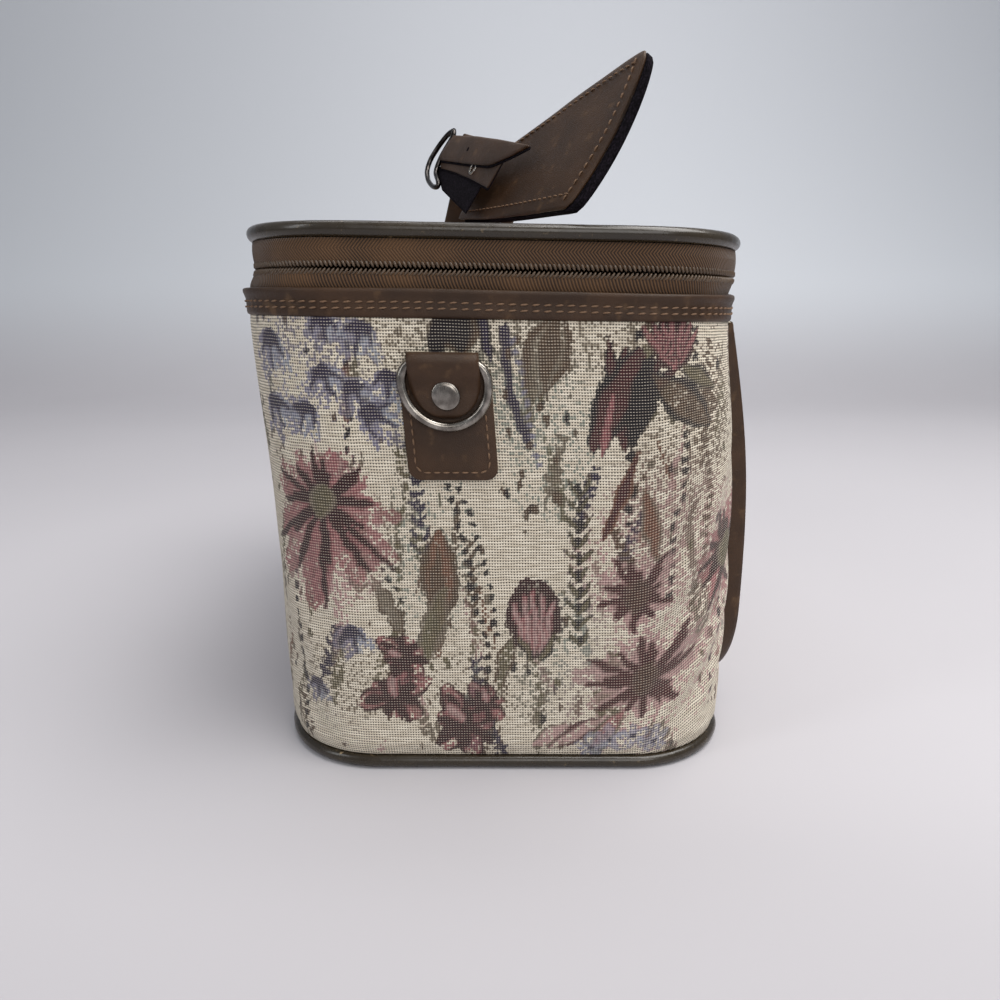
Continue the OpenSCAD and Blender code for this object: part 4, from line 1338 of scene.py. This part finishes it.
def make_ring_end(side, name):
    """A stitched patch with its tab, ring and rivet."""
    softened(f"{name}_patch", 0.45 * MM, leather, "case")
    face = make_tab(side, name)
    make_ring(name)
    make_rivet(side, name, face)
    low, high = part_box(f"{name}_patch")
    y0, y1, z0 = low.y + PATCH_STITCH_IN, high.y - PATCH_STITCH_IN, low.z + PATCH_STITCH_IN
    top = high.z - PATCH_STITCH_TOP
    r = PATCH_STITCH_R
    foot = arc((y0 + r, z0 + r), r, 180, 270, 7) + arc((y1 - r, z0 + r), r, 270, 360, 7)
    line = [(face, y, z) for y, z in [(y0, top)] + foot + [(y1, top)]]
    stitch_line(f"{name}_patch_stitches", line, (side, 0, 0), 3.6 * MM, 0.37 * MM, "case")


# Handle and tag

TAG_AT = Vector((-149.1, -26.4, 224.2)) * MM
TAG_TURN = Euler((math.radians(115), math.radians(-3), math.radians(31)), "XYZ").to_matrix()
TAG_AXES = np.array(TAG_TURN)
TAG_CORNERS = np.array([(2, 0), (86, 0), (68, 31), (-9.4, 56.3)]) * MM
TAG_T = 1.2 * MM
TAG_SPLIT = 1.0 * MM
TAG_BOW = 1.9 * MM
TAG_CROWN = 4.2 * MM
TAG_FREE_BOW = 6.0 * MM
TAG_ROUND = 2.5 * MM
TAG_STITCH, TAG_STITCH_R = 3.2 * MM, 0.34 * MM
LEAF_COLUMNS, LEAF_ROWS = 60, 36
STRAP_COLUMNS, STRAP_ROWS = 44, 15


def tag_place(points):
    """Points of the object from points along, across and through the tag."""
    return np.asarray(points) @ TAG_AXES.T + np.array(TAG_AT)


def tag_point(p, q):
    """A place on the tag's plane, p along it from its free end and q across it, with a bowed lower edge."""
    p, q = np.broadcast_arrays(p, q)
    low_free, low_neck, high_neck, high_free = TAG_CORNERS
    flat = ((1 - p) * (1 - q))[..., None] * low_free + (p * (1 - q))[..., None] * low_neck
    flat = flat + (p * q)[..., None] * high_neck + ((1 - p) * q)[..., None] * high_free
    reach = np.clip(p, 0, 1)
    flat[..., 0] -= TAG_FREE_BOW * np.sin(math.pi * q) * (1 - reach) ** 2
    flat[..., 1] += TAG_CROWN * np.sin(math.pi * reach ** 0.7) * q
    flat[..., 1] -= TAG_BOW * np.sin(math.pi * reach) * (1 - q)
    return flat


def tag_warp(p, q):
    """How far the tag's leaves curl out of their plane."""
    return 2.6 * MM * np.sin(math.pi * p) * (q - 0.45) - 1.6 * MM * (1 - p) ** 2 * q


def make_tag_leaf(node, near, far, grow, material):
    """One leaf of the tag between two heights; grow lengthens the foot of its free end."""
    p = np.linspace(0, 1, LEAF_COLUMNS)
    q = np.linspace(0, 1, LEAF_ROWS)
    length = np.linalg.norm(TAG_CORNERS[1] - TAG_CORNERS[0])
    width = np.linalg.norm(TAG_CORNERS[3] - TAG_CORNERS[0]) * (1 - 0.4 * p)
    end = np.clip(np.minimum(p, 1 - p) * length, 0, TAG_ROUND)
    inset = (TAG_ROUND - np.sqrt(TAG_ROUND ** 2 - (TAG_ROUND - end) ** 2)) / width
    across = inset[:, None] + (1 - 2 * inset)[:, None] * q
    along = np.broadcast_to(p[:, None], across.shape)
    flat = tag_point(along, across)
    flat[..., 0] -= grow * (1 - along) ** 3 * np.sqrt(1 - across) * (across > 0)
    lift = tag_warp(along, across) + 0.25 * MM * ripple(along * 9, across * 7, 2.0)
    soft = 0.3 * MM * np.abs(2 * q - 1) ** 12
    points = layered(raised(flat, near(along) + lift + soft), raised(flat, far + lift - soft))
    name = node + "_cover"
    mesh = grid_mesh(name, tag_place(points), p * length, np.arange(2 * LEAF_ROWS + 1) * MM, False, True)
    close_ends(mesh)
    piece(name, mesh, material, "lid", node)


SMOOTHING_ROUNDS = 4


def along_line(points, count):
    """Even places along a smooth line through points given in millimetres."""
    points = np.asarray(points, float) * MM
    line = on_line(points, np.linspace(0, distance(points)[-1], count))
    for _ in range(SMOOTHING_ROUNDS):
        line[1:-1] = (line[:-2] + 2 * line[1:-1] + line[2:]) / 4
    return line


def strap_sheet(name, top, low, near, thick, crown, material, *replaced):
    """A strap between its upper and lower edge along the tag; near, thick and crown are in millimetres."""
    upper, lower = along_line(top, STRAP_COLUMNS), along_line(low, STRAP_COLUMNS)
    q = np.linspace(0, 1, STRAP_ROWS)
    flat = upper[:, None] + (lower - upper)[:, None] * q[None, :, None]
    dome = crown * MM * (1 - (2 * q - 1) ** 4) + waves(0.12, flat[..., 0], flat[..., 1], 5, 3, 3.0)
    points = layered(raised(flat, near * MM - dome), raised(flat, (near + thick) * MM))
    u, v = np.arange(STRAP_COLUMNS) * MM, np.arange(2 * STRAP_ROWS + 1) * MM
    mesh = grid_mesh(name, tag_place(points), u, v, False, True)
    flip_faces(mesh)
    close_ends(mesh)
    piece(name, mesh, material, "lid", *replaced)


STRAP_END_TOP = [(103.4, 36.9), (78.3, 32.8), (53.9, 27.7), (37.5, 24.0), (30.1, 22.2)]
STRAP_END_LOW = [(110.8, 25.9), (79.5, 20.5), (56.9, 17.0), (42.6, 19.0), (29.9, 21.8)]
STRAP_INNER_TOP = [(113.9, 29.3), (90.3, 26.3), (65.3, 22.7), (48.5, 19.8)]
STRAP_INNER_LOW = [(106.9, 22.0), (89.6, 18.3), (69.4, 12.8), (52.2, 7.5)]
ELASTIC_TOP = [(113.4, 24.3), (87.0, 19.1), (59.9, 10.6)]
ELASTIC_LOW = [(97.5, 10.8), (80.8, 4.1), (64.3, -2.5)]
BUCKLE = [(107.3, 40.1), (112.3, 39.5), (117.5, 34.1), (121.3, 27.7), (120.3, 21.7), (113.8, 16.0),
          (105.4, 12.2), (98.9, 11.3), (100.5, 13.9), (109.5, 19.8), (110.0, 26.8), (107.0, 33.8),
          (104.7, 37.6), (107.3, 40.1)]
EYELET_AT, EYELET_R, EYELET_WIRE = (72.0, 17.9), 2.3, 0.65 * MM
HOLE_AT, HOLE_R = (81.5, 27.0), 1.0


def flat_wire(name, line, height, radius, material, *replaced):
    """A closed wire that lies in the tag's plane at a height."""
    mesh = tube(name, tag_place(raised(line, height)), TAG_AXES[:, 2], radius)
    piece(name, mesh, material, "lid", *replaced)


def tag_stitches(name, p, q):
    """A row of stitches on the tag's near leaf, along places p and q."""
    p, q = np.broadcast_arrays(np.asarray(p, float), np.asarray(q, float))
    height = -TAG_SPLIT - TAG_T + tag_warp(p, q) - 0.05 * MM
    points = tag_place(raised(tag_point(p, q), height))
    stitch_line(name, points, -TAG_AXES[:, 2], TAG_STITCH, TAG_STITCH_R, "lid")


def line_loop(loop):
    """Gives felt to the faces of the tag's loop that turn to the strap."""
    loop.data.materials.append(felt)
    for face in loop.data.polygons:
        normal = np.array(face.normal) @ TAG_AXES
        middle = (np.array(face.center) - np.array(TAG_AT)) @ TAG_AXES
        if normal[2] < -0.6 and middle[2] < -6 * MM:
            face.material_index = 1


def make_strap():
    """The tag's strap: its free end over an inner layer with an eyelet, a black elastic and the buckle."""
    end_backing = np.array(STRAP_END_LOW) - np.array((0, 0.7))
    inner_backing = np.array(STRAP_INNER_LOW) - np.array((0, 0.8))
    strap_sheet("tag_strap_end_cover", STRAP_END_TOP, STRAP_END_LOW, -11.3, 0.7, 0.4, leather,
                "tag_strap_end")
    strap_sheet("tag_strap_backing", STRAP_END_TOP, end_backing, -10.5, 0.5, 0.0, felt)
    strap_sheet("tag_strap_inner", STRAP_INNER_TOP, STRAP_INNER_LOW, -9.9, 0.4, 0.15, leather)
    strap_sheet("tag_inner_backing", STRAP_INNER_TOP, inner_backing, -9.4, 0.3, 0.0, felt)
    strap_sheet("tag_elastic", ELASTIC_TOP, ELASTIC_LOW, -9.1, 0.4, 0.2, felt)
    line_loop(softened("tag_loop", 0.4 * MM, leather, "lid"))
    buckle = along_line(BUCKLE, 61)[:-1]
    flat_wire("tag_buckle_cover", buckle, -10.6 * MM, 1.15 * MM, dark_metal, "tag_buckle", "tag_prong")
    turn = np.linspace(0, 2 * math.pi, 29)
    circle = np.stack([np.cos(turn), np.sin(turn)], -1)
    eyelet = (np.array(EYELET_AT) + EYELET_R * circle[:-1]) * MM
    flat_wire("tag_eyelet_cover", eyelet, -10.1 * MM, EYELET_WIRE, nickel, "tag_eyelet")
    # The strap's hole is not cut: a thin felt disc lies on the leather there, and its dark colour is painted
    # shade for the hole.
    hole = np.array(HOLE_AT) + HOLE_R * circle
    strap_sheet("tag_strap_hole_painted_shade", hole[:15], hole[:13:-1], -11.72, 0.3, 0.0, felt)


def make_tag():
    """The tag's leather leaf, its felt leaf, which opens at the free end, its stitches and its strap."""
    def opening(p):
        return TAG_SPLIT * (2 * smooth(p, 0.55, 0.75) - 0.95)

    make_tag_leaf("tag_front", lambda p: -TAG_SPLIT - TAG_T, -TAG_SPLIT, 0.0, leather)
    make_tag_leaf("tag_back", opening, TAG_SPLIT + TAG_T, 3.0 * MM, felt)
    run = np.linspace(0.05, 0.95, 40)
    tag_stitches("tag_stitches_top", run, 0.93)
    tag_stitches("tag_stitches_low", run, 0.10)
    tag_stitches("tag_stitches_free", 0.06, run)
    make_strap()


ANCHOR_STITCH_IN = 2.6 * MM


def make_handle():
    """The carrying handle and its two stitched anchors."""
    softened("handle_strap", 0.8 * MM, leather, "lid")
    softened("handle_grip", 2.0 * MM, leather, "lid")
    for anchor in ("left_anchor", "right_anchor"):
        softened(anchor, 0.5 * MM, leather, "lid")
        low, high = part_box(anchor)
        x0, y0 = low.x + ANCHOR_STITCH_IN, low.y + ANCHOR_STITCH_IN
        x1, y1 = high.x - ANCHOR_STITCH_IN, high.y - ANCHOR_STITCH_IN
        corners = ((x0, y0), (x1, y0), (x1, y1), (x0, y1), (x0, y0))
        line = [(x, y, high.z + 0.05 * MM) for x, y in corners]
        stitch_line(anchor + "_stitches", line, (0, 0, 1), TAG_STITCH, TAG_STITCH_R, "lid")


HINGE_T = 1.2 * MM
HINGE_STITCH_IN = 1.6 * MM
HINGE_COLUMNS, HINGE_ROWS = 90, 17


def make_hinge():
    """One leather strip across the hinge line at the back."""
    low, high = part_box("lower_hinge_strip")[0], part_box("upper_hinge_strip")[1]
    face = high.y
    x = np.linspace(low.x, high.x, HINGE_COLUMNS)
    z = np.linspace(low.z, high.z, HINGE_ROWS)
    across, up = np.meshgrid(x, z, indexing="ij")
    outer = np.stack([across, face + waves(0.25, across, up, 11, 6, 4.0), up], -1)
    points = layered(outer, outer - np.array([0, HINGE_T, 0]))
    mesh = grid_mesh("hinge_strip", points, x, np.arange(2 * HINGE_ROWS + 1) * MM, False, True)
    flip_faces(mesh)
    close_ends(mesh)
    strip = piece("hinge_strip", mesh, leather, None, "lower_hinge_strip", "upper_hinge_strip")
    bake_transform(strip)
    seams = (("hinge_stitches_low", low.z + HINGE_STITCH_IN, "case"),
             ("hinge_stitches_high", high.z - HINGE_STITCH_IN, "lid"))
    for name, level, body in seams:
        line = [(at, face + 0.2 * MM, level) for at in x]
        stitch_line(name, line, (0, 1, 0), 3.6 * MM, 0.34 * MM, body)


def make_zip_hardware():
    """The slider, its pull and the leather tabs over the ends of the zip."""
    softened("zip_slider", 0.3 * MM, nickel, "case")
    softened("zip_pull", 0.3 * MM, nickel, "pull")
    softened("zip_end_tabs", 0.25 * MM, leather, "case")


# Stage

def area_light(name, at, toward, size, power, colour):
    """A soft rectangular light turned toward a place."""
    data = bpy.data.lights.new(name, "AREA")
    data.shape = "RECTANGLE"
    data.size, data.size_y = size
    data.energy = power
    data.color = colour
    obj = bpy.data.objects.new(name, data)
    obj.location = at
    obj.rotation_euler = (Vector(toward) - Vector(at)).to_track_quat("-Z", "Y").to_euler()
    scene.collection.objects.link(obj)


SWEEP_FROM, SWEEP_R, SWEEP_TOP, SWEEP_HALF, SWEEP_NEAR = 1.1, 1.3, 3.2, 14.0, -14.0


def make_sweep():
    """A pale floor that curves up into a wall behind the case, with painted shade: the floor is darker
    towards the camera and the wall darker towards +y.
    """
    profile = [(SWEEP_NEAR, 0.0)] + [(x, 0.0) for x in np.linspace(-1.0, SWEEP_FROM, 8)]
    for a in np.radians(np.linspace(-90, 0, 25))[1:]:
        profile.append((SWEEP_FROM + SWEEP_R * math.cos(a), SWEEP_R + SWEEP_R * math.sin(a)))
    profile.append((SWEEP_FROM + SWEEP_R, SWEEP_TOP))
    sides = np.linspace(-SWEEP_HALF, SWEEP_HALF, 9)
    points = np.array([[(x, y, z) for x, z in profile] for y in sides])
    mesh = grid_mesh("floor", points, sides, np.arange(len(profile)) * 0.1)
    flip_faces(mesh)
    floor = bpy.data.objects.new("floor", mesh)
    scene.collection.objects.link(floor)
    s = Shader("floor").set(Roughness=0.7, Specular_IOR_Level=0.2)
    place = s.place()
    cloud = s.noise(place, 3.0)
    far, left, high = s.split(place)
    plain = s.mix(cloud, screen(184, 181, 185), screen(189, 186, 190))
    # Painted shade: the floor is darker towards the camera, where less light falls on it.
    floor_tone_with_painted_shade = s.mix(s.step(far, -0.28, -0.15), screen(176, 173, 177), plain)
    # Painted shade: the wall is darker towards +y, the side away from the key light.
    wall_tone_with_painted_shade = s.mix(s.step(left, -0.6, 1.0), screen(226, 229, 234), screen(212, 215, 220))
    mesh.materials.append(s.finish(s.mix(s.step(high, -0.05, 0.3), floor_tone_with_painted_shade, wall_tone_with_painted_shade)))


def make_lights():
    """Soft studio light from above, from the front and from the left, and light on the wall behind."""
    world = bpy.data.worlds.new("world")
    world.use_nodes = True
    sky = world.node_tree.nodes["Background"].inputs
    sky["Color"].default_value = (0.72, 0.76, 0.82, 1)
    sky["Strength"].default_value = 0.38
    scene.world = world
    area_light("top_soft", (-0.3, -0.65, 1.5), (0.0, 0, 0.1), (1.2, 1.2), 27, (1.0, 0.98, 0.95))
    area_light("wall_soft", (0.7, 0, 2.6), (1.9, 0, 0.2), (2.5, 0.8), 22, (1.0, 0.98, 0.97))
    area_light("front_soft", (-1.6, -0.4, 0.9), (0, 0, 0.12), (1.2, 1.0), 10, (1.0, 0.98, 0.96))
    area_light("side_strip", (-0.7, 1.1, 0.8), (-0.15, 0.05, 0.2), (0.25, 0.9), 3, (0.96, 0.98, 1.0))


def make_camera():
    """The photograph's camera."""
    camera = bpy.data.cameras.new("camera")
    camera.sensor_width = SENSOR
    camera.lens = SENSOR * FOCAL_PIXELS / FRAME_PIXELS
    obj = bpy.data.objects.new("camera", camera)
    obj.location = CAMERA_AT
    obj.rotation_euler = (math.pi / 2 - CAMERA_TILT, 0, -math.pi / 2)
    scene.collection.objects.link(obj)
    scene.camera = obj
    scene.view_settings.view_transform = "Standard"


make_sweep()
make_lights()
make_camera()
make_wall()
make_band()
make_tape("lower_tape", "case", 0.3 * MM, 1.0)
make_tape("upper_tape", "lid", 0.55 * MM, 0.9)
make_piping("base_piping", "case")
make_piping("lid_piping", "lid")
make_teeth("lower_coil", "lower_teeth", "case", -1)
make_teeth("upper_coil", "upper_teeth", "lid", 1)
make_lid()
make_base()
make_case_lining()
make_lid_lining()
make_pocket()
make_binding()
make_ring_end(-1, "left")
make_ring_end(1, "right")
make_tag()
make_handle()
make_zip_hardware()
make_hinge()
